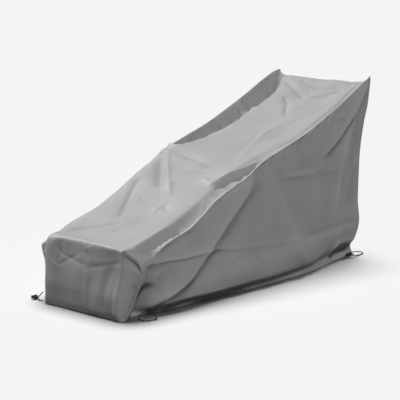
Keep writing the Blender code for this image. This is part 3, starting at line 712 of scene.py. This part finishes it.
@dataclass(frozen=True)
class CoatedWeave:
    """Solution-dyed polyester weave with a thin coating, as used for garden covers."""

    name: str = "coated_weave"
    pale: tuple = (0.470, 0.470, 0.475, 1.0)
    deep: tuple = (0.385, 0.385, 0.390, 1.0)
    worn: tuple = (0.530, 0.530, 0.530, 1.0)
    # Colour towards which the crease hollows are darkened: painted shade.
    painted_hollow_shade: tuple = (0.300, 0.300, 0.305, 1.0)
    # The thread colour serves the hem's real stitching and also the painted seam shadow beside the side
    # panels' seams.
    thread_and_seam_shadow: tuple = (0.15, 0.15, 0.155, 1.0)
    pitch: float = 0.0009          # width of one yarn
    hem_stitch: float = 0.028      # height of the drawcord channel's stitching above the hem
    stitch_length: float = 0.0035
    seam_shadow_offset: float = 0.0030      # distance from the seam of the dark line painted as the seam's shadow
    seam_shadow_width: float = 0.0040

    def dress(self, obj: bpy.types.Object) -> None:
        """Gives the finish to a panel whose UV map is in metres.

        Args:
            obj: the panel, with a "relief" attribute for its ridges and hollows, the hollows getting painted
                shade, an "edge"
            attribute that holds the distance to the nearest seam or hem and a "seam" attribute for the
            painted seam shadow.
        """
        bench = Bench(self.name + "_" + obj.name)
        layout = bench.node("ShaderNodeUVMap", {"uv_map": "cloth"})
        flat = bench.node("ShaderNodeSeparateXYZ", {}, {0: layout.outputs[0]})
        warp, weft = bench.wrap(flat, "X"), bench.wrap(flat, "Y")
        turn = math.pi / self.pitch
        over = (warp * turn).sine() * (weft * turn).sine()
        yarn = (warp * (2 * turn)).sine().absolute() * 0.5 + (weft * (2 * turn)).sine().absolute() * 0.5
        slub = bench.noise(bench.node("ShaderNodeMapping", {}, {
            "Vector": layout.outputs[0], "Scale": (40.0, 900.0, 1.0)}).outputs[0], 1.0, 1.0)
        relief = bench.wrap(bench.node("ShaderNodeAttribute", {"attribute_name": "relief"}), "Fac")
        edge = bench.wrap(bench.node("ShaderNodeAttribute", {"attribute_name": "edge"}), "Fac")
        place = bench.node("ShaderNodeTexCoord").outputs["Object"]
        cloud = bench.noise(place, 3.2, 4.0, 0.55)
        dust = bench.noise(place, 34.0, 3.0, 0.6)
        tone = (cloud * 0.55 + dust * 0.15 + slub * 0.15 + over * 0.06).smallest(1.0)
        colour = bench.blend(tone, self.deep, self.pale)
        raised = (relief + relief.absolute()) * 0.5
        sunk = raised - relief
        wear = (raised * dust * 0.55).smallest(0.4)
        colour = bench.blend(wear, colour, self.worn)
        # Painted shade: the crease hollows are darkened, standing in for the shade that falls in them.
        colour = bench.blend((sunk * 0.35).smallest(0.5), colour, self.painted_hollow_shade)
        # Painted shadow: a continuous dark band 1 to 5 mm from the side panels' seams, in the thread colour,
        # stands in for the shade under the seam's edge.
        seam = bench.wrap(bench.node("ShaderNodeAttribute", {"attribute_name": "seam"}), "Fac")
        painted_seam_shadow = (seam - self.seam_shadow_offset).absolute().below(0.5 * self.seam_shadow_width)
        colour = bench.blend(painted_seam_shadow * 0.75, colour, self.thread_and_seam_shadow)
        off_line = (edge - self.hem_stitch).absolute()
        on_line = off_line.below(0.0006) * warp.remainder(self.stitch_length).below(0.72 * self.stitch_length)
        colour = bench.blend(on_line * 0.8, colour, self.thread_and_seam_shadow)
        height = over * 0.5 + yarn * 0.35 + slub * 0.25 - on_line * 1.5
        fine = bench.bump(height, 0.00012, 0.55)
        crumple = bench.noise(place, 60.0, 3.0, 0.6)
        normal = bench.bump(crumple, 0.0012, 0.16, fine)
        bench.feed(bench.shader.inputs["Base Color"], colour)
        bench.feed(bench.shader.inputs["Roughness"], 0.60 - wear * 0.25 + dust * 0.08)
        bench.feed(bench.shader.inputs["Normal"], normal)
        bench.shader.inputs["Sheen Weight"].default_value = 0.10
        bench.shader.inputs["Sheen Roughness"].default_value = 0.45
        bench.shader.inputs["Specular IOR Level"].default_value = 0.35
        finish_with(obj, bench.material)


@dataclass(frozen=True)
class Braid:
    """Round black polyester braid of the drawcord."""

    name: str = "black_braid"
    dark: tuple = (0.010, 0.010, 0.011, 1.0)
    light: tuple = (0.032, 0.032, 0.034, 1.0)
    pitch: float = 0.0016

    def dress(self, obj: bpy.types.Object) -> None:
        """Gives the finish to a cord or a knot."""
        bench = Bench(self.name + "_" + obj.name)
        place = bench.node("ShaderNodeTexCoord").outputs["Object"]
        axes = bench.node("ShaderNodeSeparateXYZ", {}, {0: place})
        x, y, z = (bench.wrap(axes, name) for name in "XYZ")
        turn = 2 * math.pi / self.pitch
        plait = ((x + y + z) * turn).sine() * ((x - y + z * 0.6) * turn).sine()
        fuzz = bench.noise(place, 900.0, 2.0)
        tone = (plait * 0.35 + 0.4 + fuzz * 0.2).smallest(1.0)
        bench.feed(bench.shader.inputs["Base Color"], bench.blend(tone, self.dark, self.light))
        bench.feed(bench.shader.inputs["Roughness"], 0.62 + fuzz * 0.2)
        bench.feed(bench.shader.inputs["Normal"], bench.bump(plait * 0.7 + fuzz * 0.3, 0.0004, 0.8))
        bench.shader.inputs["Sheen Weight"].default_value = 0.15
        finish_with(obj, bench.material)


@dataclass(frozen=True)
class MouldedPlastic:
    """Black moulded plastic of the cord locks, slightly scuffed."""

    name: str = "black_moulding"
    black: tuple = (0.012, 0.012, 0.013, 1.0)
    scuff: tuple = (0.060, 0.060, 0.062, 1.0)

    def dress(self, obj: bpy.types.Object) -> None:
        """Gives the finish to a cord lock."""
        bench = Bench(self.name + "_" + obj.name)
        place = bench.node("ShaderNodeTexCoord").outputs["Object"]
        grain = bench.noise(place, 1400.0, 2.0)
        rub = bench.noise(place, 160.0, 4.0, 0.65)
        share = ((rub - 0.52) * 4.0)
        share = (share + share.absolute()) * 0.25
        colour = bench.blend(share.smallest(0.5), self.black, self.scuff)
        bench.feed(bench.shader.inputs["Base Color"], colour)
        bench.feed(bench.shader.inputs["Roughness"], 0.34 + grain * 0.12 + rub * 0.12)
        bench.feed(bench.shader.inputs["Normal"], bench.bump(grain, 0.00008, 0.5))
        bench.shader.inputs["Specular IOR Level"].default_value = 0.5
        finish_with(obj, bench.material)


def select_only(obj: bpy.types.Object) -> None:
    """Makes an object the active and only selected one."""
    deselect_all()
    obj.select_set(True)
    bpy.context.view_layer.objects.active = obj


def deselect_all() -> None:
    """Leaves nothing selected, so that a new primitive stands alone."""
    for other in bpy.context.selected_objects:
        other.select_set(False)


def apply_modifiers(obj: bpy.types.Object) -> None:
    """Applies every modifier of an object, in order."""
    select_only(obj)
    for modifier in list(obj.modifiers):
        bpy.ops.object.modifier_apply(modifier=modifier.name)


def finish_with(obj: bpy.types.Object, material: bpy.types.Material) -> None:
    """Gives an object one material in place of any others."""
    obj.data.materials.clear()
    obj.data.materials.append(material)


def hand_over(obj: bpy.types.Object, node: str) -> None:
    """Puts a finished piece on the root in place of a node, hides that node and logs which piece stands for
    it.
    """
    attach(obj, "root")
    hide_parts(node)
    LOG.info("%s stands for %s", obj.name, node)


class Sheet:
    """A grid of cloth that is laid over a surface and then given its thickness."""

    def __init__(self, name: str, first: np.ndarray, second: np.ndarray) -> None:
        """Adds the flat grid.

        Args:
            name: the piece's name.
            first: the places of its columns, in the sheet's own measure.
            second: the places of its rows.
        """
        deselect_all()
        bpy.ops.mesh.primitive_grid_add(x_subdivisions=len(first) - 1, y_subdivisions=len(second) - 1,
                                        size=1.0)
        self.obj = bpy.context.active_object
        self.obj.name = name
        self.obj.data.name = name
        mesh = self.obj.data
        flat = np.empty(len(mesh.vertices) * 3)
        mesh.vertices.foreach_get("co", flat)
        flat = flat.reshape(-1, 3) + 0.5
        column = np.rint(flat[:, 0] * (len(first) - 1)).astype(int)
        row = np.rint(flat[:, 1] * (len(second) - 1)).astype(int)
        self.first = first[column]
        self.second = second[row]

    def lay(self, points: np.ndarray, cloth_uv: np.ndarray, relief: np.ndarray, edge: np.ndarray,
            seam: np.ndarray) -> None:
        """Moves the grid's vertices to their places and stores what the finish reads.

        Args:
            points: one place a vertex.
            cloth_uv: the vertex's place on the cut cloth, in metres.
            relief: how far it stands on a ridge, up to 1, or lies in a hollow, down to -1; the hollows get
                painted shade.
            edge: distance to the hem, in metres.
            seam: distance to the nearest seam, in metres.
        """
        mesh = self.obj.data
        mesh.vertices.foreach_set("co", points.astype(np.float32).ravel())
        loops = np.empty(len(mesh.loops), dtype=np.int32)
        mesh.loops.foreach_get("vertex_index", loops)
        layer = mesh.uv_layers[0]
        layer.name = "cloth"
        layer.data.foreach_set("uv", cloth_uv[loops].astype(np.float32).ravel())
        for name, values in (("relief", relief), ("edge", edge), ("seam", seam)):
            attribute = mesh.attributes.new(name, "FLOAT", "POINT")
            attribute.data.foreach_set("value", values.astype(np.float32))
        mesh.update()

    def face_out(self, viewpoint: Sequence[float]) -> None:
        """Turns the sheet's right side towards a point outside the cover."""
        mesh = self.obj.data
        face = mesh.polygons[len(mesh.polygons) // 2]
        if face.normal.dot(Vector(viewpoint) - face.center) < 0:
            select_only(self.obj)
            bpy.ops.object.mode_set(mode="EDIT")
            bpy.ops.mesh.select_all(action="SELECT")
            bpy.ops.mesh.flip_normals()
            bpy.ops.object.mode_set(mode="OBJECT")

    def thicken(self) -> None:
        """Closes collapsed corners and gives the sheet its thickness, inwards from the outer face."""
        select_only(self.obj)
        bpy.ops.object.mode_set(mode="EDIT")
        bpy.ops.mesh.select_all(action="SELECT")
        bpy.ops.mesh.remove_doubles(threshold=0.00001)
        bpy.ops.object.mode_set(mode="OBJECT")
        wall = self.obj.modifiers.new("cloth", "SOLIDIFY")
        wall.thickness = CLOTH
        wall.offset = -1.0
        wall.use_even_offset = False
        apply_modifiers(self.obj)
        bpy.ops.object.shade_smooth()


def spread(*stretches: tuple) -> np.ndarray:
    """Places along a measure.

    Args:
        stretches: each is (from, to, number of steps).

    Returns:
        The places of all stretches in order, each once.
    """
    places = [np.linspace(low, high, steps + 1) for low, high, steps in stretches]
    return np.unique(np.round(np.concatenate(places), 7))


# Widths at which a turned-in cut edge has its vertices.
TURNED = (0.0008, 0.0022, 0.0055, SEAM_ALLOWANCE)

# Heights of a side panel's lowest rows, close together over the fold above the hem.
LOW_HEIGHTS = (0.0, 0.006, 0.013, 0.021, 0.029, 0.036, 0.041, 0.045, 0.049, 0.055, 0.064, 0.076, 0.090)


@dataclass
class CentrePanel:
    """The long strip of foot drop, sloping top and back drop."""

    shape: CoverShape
    name: str = "cover_centre_panel"
    node: str = "centre_panel"
    seed: int = 11

    def build(self) -> bpy.types.Object:
        """Lays the strip over the hidden chair and returns the piece."""
        shape = self.shape
        run = spread((0, 0.30, 42), (0.30, 0.46, 32), (0.46, 2.40, 262), (2.40, 2.52, 24),
                     (2.52, shape.end, 62))
        turned = np.array(TURNED) / HALF_WIDTH
        half = spread((0, 0.72, 30), (0.72, 0.97, 18), (0.97, 1.0, 5))[1:]
        right = np.concatenate((half, 1 + turned))
        across = np.concatenate((-right[::-1], [0.0], right))
        sheet = Sheet(self.name, run, across)
        run, across = sheet.first, sheet.second
        inside = np.clip(across, -1, 1)
        outward = -shape.into_cover(run)
        creases = crease_relief(STRIP_CREASES, inside * HALF_WIDTH, run)
        uneven = Unevenness(self.seed, 0.72, shape.end).lift(inside * HALF_WIDTH + HALF_WIDTH, run)
        inset = (1 - np.abs(inside)) * HALF_WIDTH
        puckers = np.where(across > 0, gathers(STRIP_PUCKERS[Side.RIGHT], self.seed + 1, run, inset),
                           gathers(STRIP_PUCKERS[Side.LEFT], self.seed + 2, run, inset))
        lift = (creases + uneven) * smooth_step(inset / 0.016) + puckers
        lift = lift * smooth_step((run + 0.02) / 0.05) * smooth_step((shape.end + 0.02 - run) / 0.05)
        points = shape.strip(run, inside) + outward * lift[:, None]
        for side in Side:
            mine = across * side.value > 0
            turn, apart = shape.seam_turn(run[mine], side)
            beyond = np.clip(np.abs(across[mine]) - 1, 0, None) * HALF_WIDTH
            close = np.clip(1 - inset[mine] / 0.006, 0, 1)
            points[mine] += turn * beyond[:, None] + apart * (SEAM_CLEARANCE * close)[:, None]
        points[:, 2] = np.maximum(points[:, 2], 0.0)
        edge = np.minimum(run, shape.end - run)
        # The strip's seam distances start at 0.05 m, which keeps the painted seam shadow off it.
        sheet.lay(points, np.stack([across * HALF_WIDTH, run], -1), np.clip(lift / RELIEF_FULL, -1, 1), edge,
                  0.05 + inset)
        sheet.face_out((0, -0.6, 4.0))
        sheet.thicken()
        CoatedWeave().dress(sheet.obj)
        hand_over(sheet.obj, self.node)
        return sheet.obj


@dataclass
class SidePanel:
    """A wedge sewn to the strip along its foot, top and back edges."""

    shape: CoverShape
    side: Side
    creases: tuple
    seed: int
    area: float

    def build(self) -> bpy.types.Object:
        """Lays the wedge between the seams and the hem and returns the piece."""
        shape, side = self.shape, self.side
        word = side.name.lower()
        turned = np.array(TURNED)
        length = PANEL_LENGTH
        columns = spread((0, 0.03, 9), (0.03, 0.15, 18), (0.15, 0.92, 112), (0.92, 0.985, 14),
                         (0.985, 1.0, 5))
        columns = np.concatenate((-turned[::-1] / length, columns, 1 + turned / length))
        low = np.array(LOW_HEIGHTS)
        above = spread((0, 0.95, 66), (0.95, 1.0, 7))[1:]
        rows = np.concatenate((np.arange(len(low)), len(low) - 1 + above, len(low) + turned))
        sheet = Sheet(f"cover_side_panel_{word}", columns, rows)
        u = np.clip(sheet.first, 0, 1)
        row = np.clip(sheet.second, 0, len(low))
        top = shape.strip(shape.ear + u * (shape.peak - shape.ear), float(side.value))[:, 2]
        height = np.where(row <= len(low) - 1, np.interp(row, np.arange(len(low)), low),
                          low[-1] + (row - len(low) + 1) * (top - low[-1]))
        v = np.clip(height / top, 0, 1)
        points = shape.side(u, v, side)
        along, up = points[:, 1] - FOOT_Y, points[:, 2]
        top_run = shape.ear + u * (shape.peak - shape.ear)
        foot_inset, back_inset, top_inset = u * length, (1 - u) * length, (1 - v) * top
        inset = np.minimum(np.minimum(foot_inset, back_inset), top_inset)
        creases = crease_relief(self.creases, along, up)
        if side is Side.RIGHT:
            creases -= self.hollow(along, up)
        uneven = Unevenness(self.seed, length, 1.0).lift(along, up)
        puckers = gathers(SIDE_PUCKERS, self.seed + 1, along, top_inset)
        lift = (creases + uneven) * smooth_step(inset / 0.030) + puckers * smooth_step(np.minimum(
            foot_inset, back_inset) / 0.03)
        lift = lift * (0.35 + 0.65 * smooth_step(up / 0.03))
        points[:, 0] += side.value * lift
        near = np.argmin(np.stack([foot_inset, back_inset, top_inset]), axis=0)
        run = np.choose(near, (v * shape.ear, shape.end - v * (shape.end - shape.peak), top_run))
        turn, apart = shape.seam_turn(run, side)
        beyond = np.maximum(np.maximum(-sheet.first, sheet.first - 1) * length, sheet.second - len(low))
        close = np.clip(1 - inset / 0.006, 0, 1)
        points += turn * np.clip(beyond, 0, None)[:, None] - apart * (SEAM_CLEARANCE * close)[:, None]
        points[:, 2] = np.maximum(points[:, 2], 0.0)
        cloth = np.stack([along + np.clip(sheet.first - 1, 0, 1) * length, up], -1)
        sheet.lay(points, cloth, np.clip(lift / RELIEF_FULL, -1, 1), up, inset)
        sheet.face_out((side.value * 6.0, 0, 0.6))
        sheet.thicken()
        CoatedWeave().dress(sheet.obj)
        hand_over(sheet.obj, f"side_panel_{word}")
        return sheet.obj

    @staticmethod
    def hollow(along: np.ndarray, up: np.ndarray) -> np.ndarray:
        """Depth of the arched hollow that the drawcord pulls in at the back corner."""
        middle, half_width, half_height, depth = 1.875, 0.190, 0.098, 0.030
        away = np.sqrt(((along - middle) / half_width) ** 2 + (up / half_height) ** 2)
        return depth * smooth_step((1 - away) / 0.45)


FRONT_LEFT_UPPER = ((-0.3135, -0.990, 0.050), (-0.326, -0.9915, 0.040), (-0.342, -0.9900, 0.026),
                    (-0.354, -0.9862, 0.0175), (-0.3622, -0.9819, 0.0141))
FRONT_LEFT_LOWER = ((-0.3040, -1.0030, 0.0105), (-0.318, -1.0050, 0.0060), (-0.336, -1.0020, 0.0060),
                    (-0.350, -0.9938, 0.0085), (-0.3572, -0.9882, 0.0118))
FRONT_RIGHT_LOOP = ((0.2990, -0.9040, 0.0165), (0.3045, -0.9020, 0.0190), (0.3110, -0.8970, 0.0250),
                    (0.3180, -0.8860, 0.0370), (0.3240, -0.8740, 0.0470), (0.3310, -0.8620, 0.0460),
                    (0.3400, -0.8510, 0.0340), (0.3540, -0.8470, 0.0170), (0.3700, -0.8510, 0.0050),
                    (0.3800, -0.8600, 0.0036), (0.3760, -0.8730, 0.0036), (0.3680, -0.8930, 0.0036),
                    (0.3620, -0.9120, 0.0036), (0.3520, -0.9230, 0.0036), (0.3380, -0.9240, 0.0036),
                    (0.3220, -0.9210, 0.0044), (0.3090, -0.9160, 0.0062), (0.2990, -0.9130, 0.0080))
BACK_RIGHT_TAIL = ((0.3100, 0.7950, 0.0090), (0.3120, 0.8060, 0.0110), (0.3140, 0.8170, 0.0150),
                   (0.3150, 0.8260, 0.0185))
BACK_RIGHT_LOOP = ((0.3160, 0.8912, 0.0275), (0.3165, 0.9080, 0.0300), (0.3150, 0.9300, 0.0300),
                   (0.3110, 0.9600, 0.0250), (0.3060, 0.9900, 0.0180), (0.3020, 1.0150, 0.0110),
                   (0.3040, 1.0260, 0.0060), (0.3110, 1.0200, 0.0040), (0.3180, 0.9960, 0.0036),
                   (0.3230, 0.9700, 0.0036), (0.3262, 0.9480, 0.0040))
BACK_RIGHT_RETURN = ((0.3262, 0.9338, 0.0052), (0.3240, 0.9220, 0.0080), (0.3200, 0.9080, 0.0140),
                     (0.3170, 0.8912, 0.0180))


@dataclass
class DrawCord:
    """One free stretch of the hem's drawcord."""

    node: str
    route: tuple
    far_end: str
    exit: tuple
    lay: str = "loose"

    def build(self, with_pieces: Sequence[bpy.types.Object] = ()) -> bpy.types.Object:
        """Args:
            with_pieces: what is on this cord; not used.
        """
        points = smooth_route(self.route, 0.7 * CORD_DIAMETER)
        curve = bpy.data.curves.new(f"{self.node}_braid", "CURVE")
        curve.dimensions = "3D"
        curve.bevel_depth = CORD_DIAMETER / 2
        curve.bevel_resolution = 4
        curve.use_fill_caps = True
        spline = curve.splines.new("POLY")
        spline.points.add(len(points) - 1)
        for target, point in zip(spline.points, points):
            target.co = (*point, 1.0)
        obj = bpy.data.objects.new(f"{self.node}_braid", curve)
        bpy.context.scene.collection.objects.link(obj)
        Braid().dress(obj)
        hand_over(obj, self.node)
        return obj


@dataclass
class CordLock:
    """A barrel with a spring-loaded button, modelled along +Z and laid on its place."""

    node: str
    mouth: tuple
    axis: tuple
    length: float
    radius: float

    def build(self) -> bpy.types.Object:
        """Models the lock, puts it on its place and returns it."""
        deselect_all()
        bpy.ops.mesh.primitive_cylinder_add(vertices=40, radius=self.radius * 0.86, depth=self.length * 0.62,
                                            location=(0, 0, self.length * 0.31))
        obj = bpy.context.active_object
        obj.name = f"{self.node}_moulding"
        bpy.ops.object.transform_apply(location=True, rotation=False, scale=False)
        bpy.ops.object.mode_set(mode="EDIT")
        mesh = bmesh.from_edit_mesh(obj.data)
        for cut in (0.10, 0.26, 0.48):
            bmesh.ops.bisect_plane(mesh, geom=mesh.verts[:] + mesh.edges[:] + mesh.faces[:],
                                   plane_co=(0, 0, self.length * cut), plane_no=(0, 0, 1))
        places, widths = (0.0, 0.10, 0.26, 0.48, 0.62), (0.72, 0.92, 1.0, 0.98, 0.90)
        for vertex in mesh.verts:
            share = np.interp(vertex.co.z / self.length, places, widths)
            scale = share * self.radius / max(math.hypot(vertex.co.x, vertex.co.y), 1e-9)
            vertex.co.x *= scale
            vertex.co.y *= scale
        bmesh.update_edit_mesh(obj.data)
        self.pull_face(obj, lowest=True, steps=((0.62, 0.0), (0.62, self.length * 0.16)))
        self.pull_face(obj, lowest=False, steps=(
            (0.78, 0.0), (1.0, self.length * 0.06), (1.0, self.length * 0.30), (0.82, self.length * 0.02)))
        bpy.ops.object.mode_set(mode="OBJECT")
        rounding = obj.modifiers.new("rounding", "BEVEL")
        rounding.width = 0.0007
        rounding.segments = 3
        rounding.limit_method = "ANGLE"
        rounding.angle_limit = math.radians(32)
        apply_modifiers(obj)
        bpy.ops.object.shade_smooth_by_angle(angle=math.radians(50))
        turn = Vector(self.axis).to_track_quat("Z", "Y").to_matrix().to_4x4()
        obj.data.transform(Matrix.Translation(self.mouth) @ turn)
        obj.location = (0, 0, 0)
        MouldedPlastic().dress(obj)
        hand_over(obj, self.node)
        return obj

    def pull_face(self, obj: bpy.types.Object, lowest: bool, steps: tuple) -> None:
        """Insets and extrudes one end face of the barrel, in edit mode.

        Args:
            obj: the barrel.
            lowest: True for the mouth, False for the button end.
            steps: (scale, distance) of each extrusion; the mouth's goes in, the button's goes out.
        """
        mesh = bmesh.from_edit_mesh(obj.data)
        mesh.faces.ensure_lookup_table()
        bpy.ops.mesh.select_all(action="DESELECT")
        ends = sorted((face for face in mesh.faces if abs(face.normal.z) > 0.9),
                      key=lambda face: face.calc_center_median().z)
        cap = ends[0] if lowest else ends[-1]
        cap.select = True
        bmesh.update_edit_mesh(obj.data)
        for scale, distance in steps:
            bpy.ops.mesh.extrude_region_move(TRANSFORM_OT_translate={"value": (0, 0, distance)})
            bpy.ops.transform.resize(value=(scale, scale, 1.0))


@dataclass
class Knot:
    """An overhand knot in the drawcord, drawn tight."""

    node: str
    centre: tuple
    radius: float

    def build(self) -> bpy.types.Object:
        """Models the knot as a ball with the swell of three strands and returns it."""
        deselect_all()
        bpy.ops.mesh.primitive_ico_sphere_add(subdivisions=4, radius=self.radius, location=(0, 0, 0))
        obj = bpy.context.active_object
        obj.name = f"{self.node}_braid"
        for vertex in obj.data.vertices:
            x, y, z = vertex.co / self.radius
            strand = math.sin(3 * math.atan2(y, x) + 2.4 * z)
            vertex.co *= 1 + 0.13 * strand - 0.08 * z * z
        select_only(obj)
        bpy.ops.object.shade_smooth()
        obj.data.transform(Matrix.Translation(self.centre))
        Braid().dress(obj)
        hand_over(obj, self.node)
        return obj


@dataclass
class Studio:
    """Camera, lights, sky and floor."""

    camera_place: tuple = (4.998, -5.736, 1.912)
    azimuth: float = 41.6
    pitch: float = 10.97
    lens: float = 125.3
    floor_size: float = 160.0

    def build(self) -> None:
        """Sets everything up around the cover."""
        self.add_camera()
        self.add_sky()
        self.add_lights(self.add_floor())
        bpy.context.scene.view_settings.view_transform = "Standard"

    def add_camera(self) -> None:
        """The camera, level from side to side and looking slightly down."""
        data = bpy.data.cameras.new("studio_camera")
        data.lens = self.lens
        data.sensor_width = 36.0
        data.clip_end = 400.0
        camera = bpy.data.objects.new("studio_camera", data)
        camera.location = self.camera_place
        camera.rotation_euler = (math.radians(90 - self.pitch), 0.0, math.radians(self.azimuth))
        bpy.context.scene.collection.objects.link(camera)
        bpy.context.scene.camera = camera

    def add_sun(self, name: str, azimuth: float, height: float, strength: float,
                softness: float) -> bpy.types.Object:
        """One soft light from far away.

        Args:
            name: its name.
            azimuth: where it comes from, in degrees round from -Y towards +X.
            height: its height above the ground, in degrees.
            strength: its strength.
            softness: its angular size, in degrees.

        Returns:
            The light.
        """
        data = bpy.data.lights.new(name, "SUN")
        data.energy = strength
        data.angle = math.radians(softness)
        lamp = bpy.data.objects.new(name, data)
        lamp.rotation_euler = (math.radians(90 - height), 0.0, math.radians(azimuth))
        bpy.context.scene.collection.objects.link(lamp)
        return lamp

    def add_lights(self, floor: bpy.types.Object) -> None:
        """A key from the left, a weak fill from the right, and a broad overhead light for the floor alone.

        Args:
            floor: kept out of the key, so that the cover's shadow on it stays short and soft.
        """
        key = self.add_sun("key", -88.0, 43.0, 2.92, 8.0)
        fill = self.add_sun("fill", 66.0, 49.0, 1.31, 12.0)
        overhead = self.add_sun("overhead", -150.0, 78.0, 3.05, 34.0)
        for lamp, state in ((key, "EXCLUDE"), (fill, "EXCLUDE"), (overhead, "INCLUDE")):
            lit = bpy.data.collections.new(f"{lamp.name}_receivers")
            lit.objects.link(floor)
            lit.collection_objects[0].light_linking.link_state = state
            lamp.light_linking.receiver_collection = lit

    def add_sky(self) -> None:
        """A pale sky above and darkness below, so that the floor alone doesn't light the cover."""
        world = bpy.data.worlds.new("studio_sky")
        world.use_nodes = True
        tree = world.node_tree
        background = tree.nodes["Background"]
        place = tree.nodes.new("ShaderNodeTexCoord")
        axes = tree.nodes.new("ShaderNodeSeparateXYZ")
        ramp = tree.nodes.new("ShaderNodeValToRGB")
        tree.links.new(place.outputs["Generated"], axes.inputs[0])
        tree.links.new(axes.outputs["Z"], ramp.inputs[0])
        ramp.color_ramp.elements[0].position = 0.0
        ramp.color_ramp.elements[0].color = (0.07, 0.07, 0.07, 1)
        ramp.color_ramp.elements[1].position = 0.04
        ramp.color_ramp.elements[1].color = (0.09, 0.09, 0.092, 1)
        eye = tree.nodes.new("ShaderNodeLightPath")
        mix = tree.nodes.new("ShaderNodeMix")
        mix.data_type = "RGBA"
        mix.inputs[7].default_value = (0.92, 0.92, 0.92, 1)
        tree.links.new(eye.outputs["Is Camera Ray"], mix.inputs[0])
        tree.links.new(ramp.outputs[0], mix.inputs[6])
        tree.links.new(mix.outputs[2], background.inputs[0])
        bpy.context.scene.world = world

    def add_floor(self) -> bpy.types.Object:
        """A plain pale floor, dull where its light reaches the cover."""
        deselect_all()
        bpy.ops.mesh.primitive_plane_add(size=self.floor_size, location=(0, 0, FLOOR_Z))
        floor = bpy.context.active_object
        floor.name = "studio_floor"
        bench = Bench("studio_paper")
        place = bench.node("ShaderNodeTexCoord").outputs["Object"]
        bench.feed(bench.shader.inputs["Base Color"], bench.blend(
            bench.noise(place, 0.8), (0.865, 0.865, 0.865, 1), (0.875, 0.875, 0.875, 1)))
        bench.shader.inputs["Roughness"].default_value = 0.9
        bench.shader.inputs["Specular IOR Level"].default_value = 0.0
        bounce = bench.node("ShaderNodeBsdfDiffuse", {}, {"Color": (0.15, 0.15, 0.15, 1.0)})
        rays = bench.node("ShaderNodeLightPath")
        shared = bench.node("ShaderNodeMixShader", {}, {
            0: rays.outputs["Is Diffuse Ray"], 1: bench.shader.outputs[0], 2: bounce.outputs[0]})
        bench.feed(bench.tree.nodes["Material Output"].inputs["Surface"], shared.outputs[0])
        floor.data.materials.append(bench.material)
        return floor


def build_cords() -> None:
    """Builds the cords, locks and knots at the three corners that show."""
    lock = CordLock("cord_lock_front_left", (-0.3625, -0.9870, 0.0131), (-0.748, -0.664, 0.0), 0.034,
                    0.0125).build()
    DrawCord("cord_front_left_upper", FRONT_LEFT_UPPER, "fitting", FRONT_LEFT_UPPER[0]).build([lock])
    DrawCord("cord_front_left_lower", FRONT_LEFT_LOWER, "fitting", FRONT_LEFT_LOWER[0]).build([lock])
    DrawCord("cord_front_right_loop", FRONT_RIGHT_LOOP, "object", FRONT_RIGHT_LOOP[0]).build()
    lock = CordLock("cord_lock_back_right", (0.3160, 0.8885, 0.0225), (0.0, -1.0, 0.0), 0.044, 0.0120).build()
    knot = Knot("cord_knot_back_right", (0.3160, 0.8330, 0.0215), 0.0052).build()
    DrawCord("cord_back_right_tail", BACK_RIGHT_TAIL, "fitting", BACK_RIGHT_TAIL[0]).build([knot, lock])
    bead = Knot("cord_knot_loop", (0.3262, 0.9408, 0.0056), 0.0048).build()
    DrawCord("cord_back_right_loop", BACK_RIGHT_LOOP, "knot", BACK_RIGHT_LOOP[0]).build([bead])
    DrawCord("cord_back_right_return", BACK_RIGHT_RETURN, "fitting", BACK_RIGHT_RETURN[0]).build([lock])


def main() -> None:
    """Builds the cover and its studio in order."""
    logging.basicConfig(level=logging.INFO, format="%(name)s: %(message)s")
    Studio().build()
    build_cords()
    shape = CoverShape()
    panels = (
        CentrePanel(shape),
        SidePanel(shape, Side.RIGHT, RIGHT_CREASES, 21, 1.40),
        SidePanel(shape, Side.LEFT, LEFT_CREASES, 31, 1.40),
    )
    for panel in panels:
        piece = panel.build()
        LOG.info("%s: %d faces", piece.name, len(piece.data.polygons))


if __name__ == "__main__":
    main()
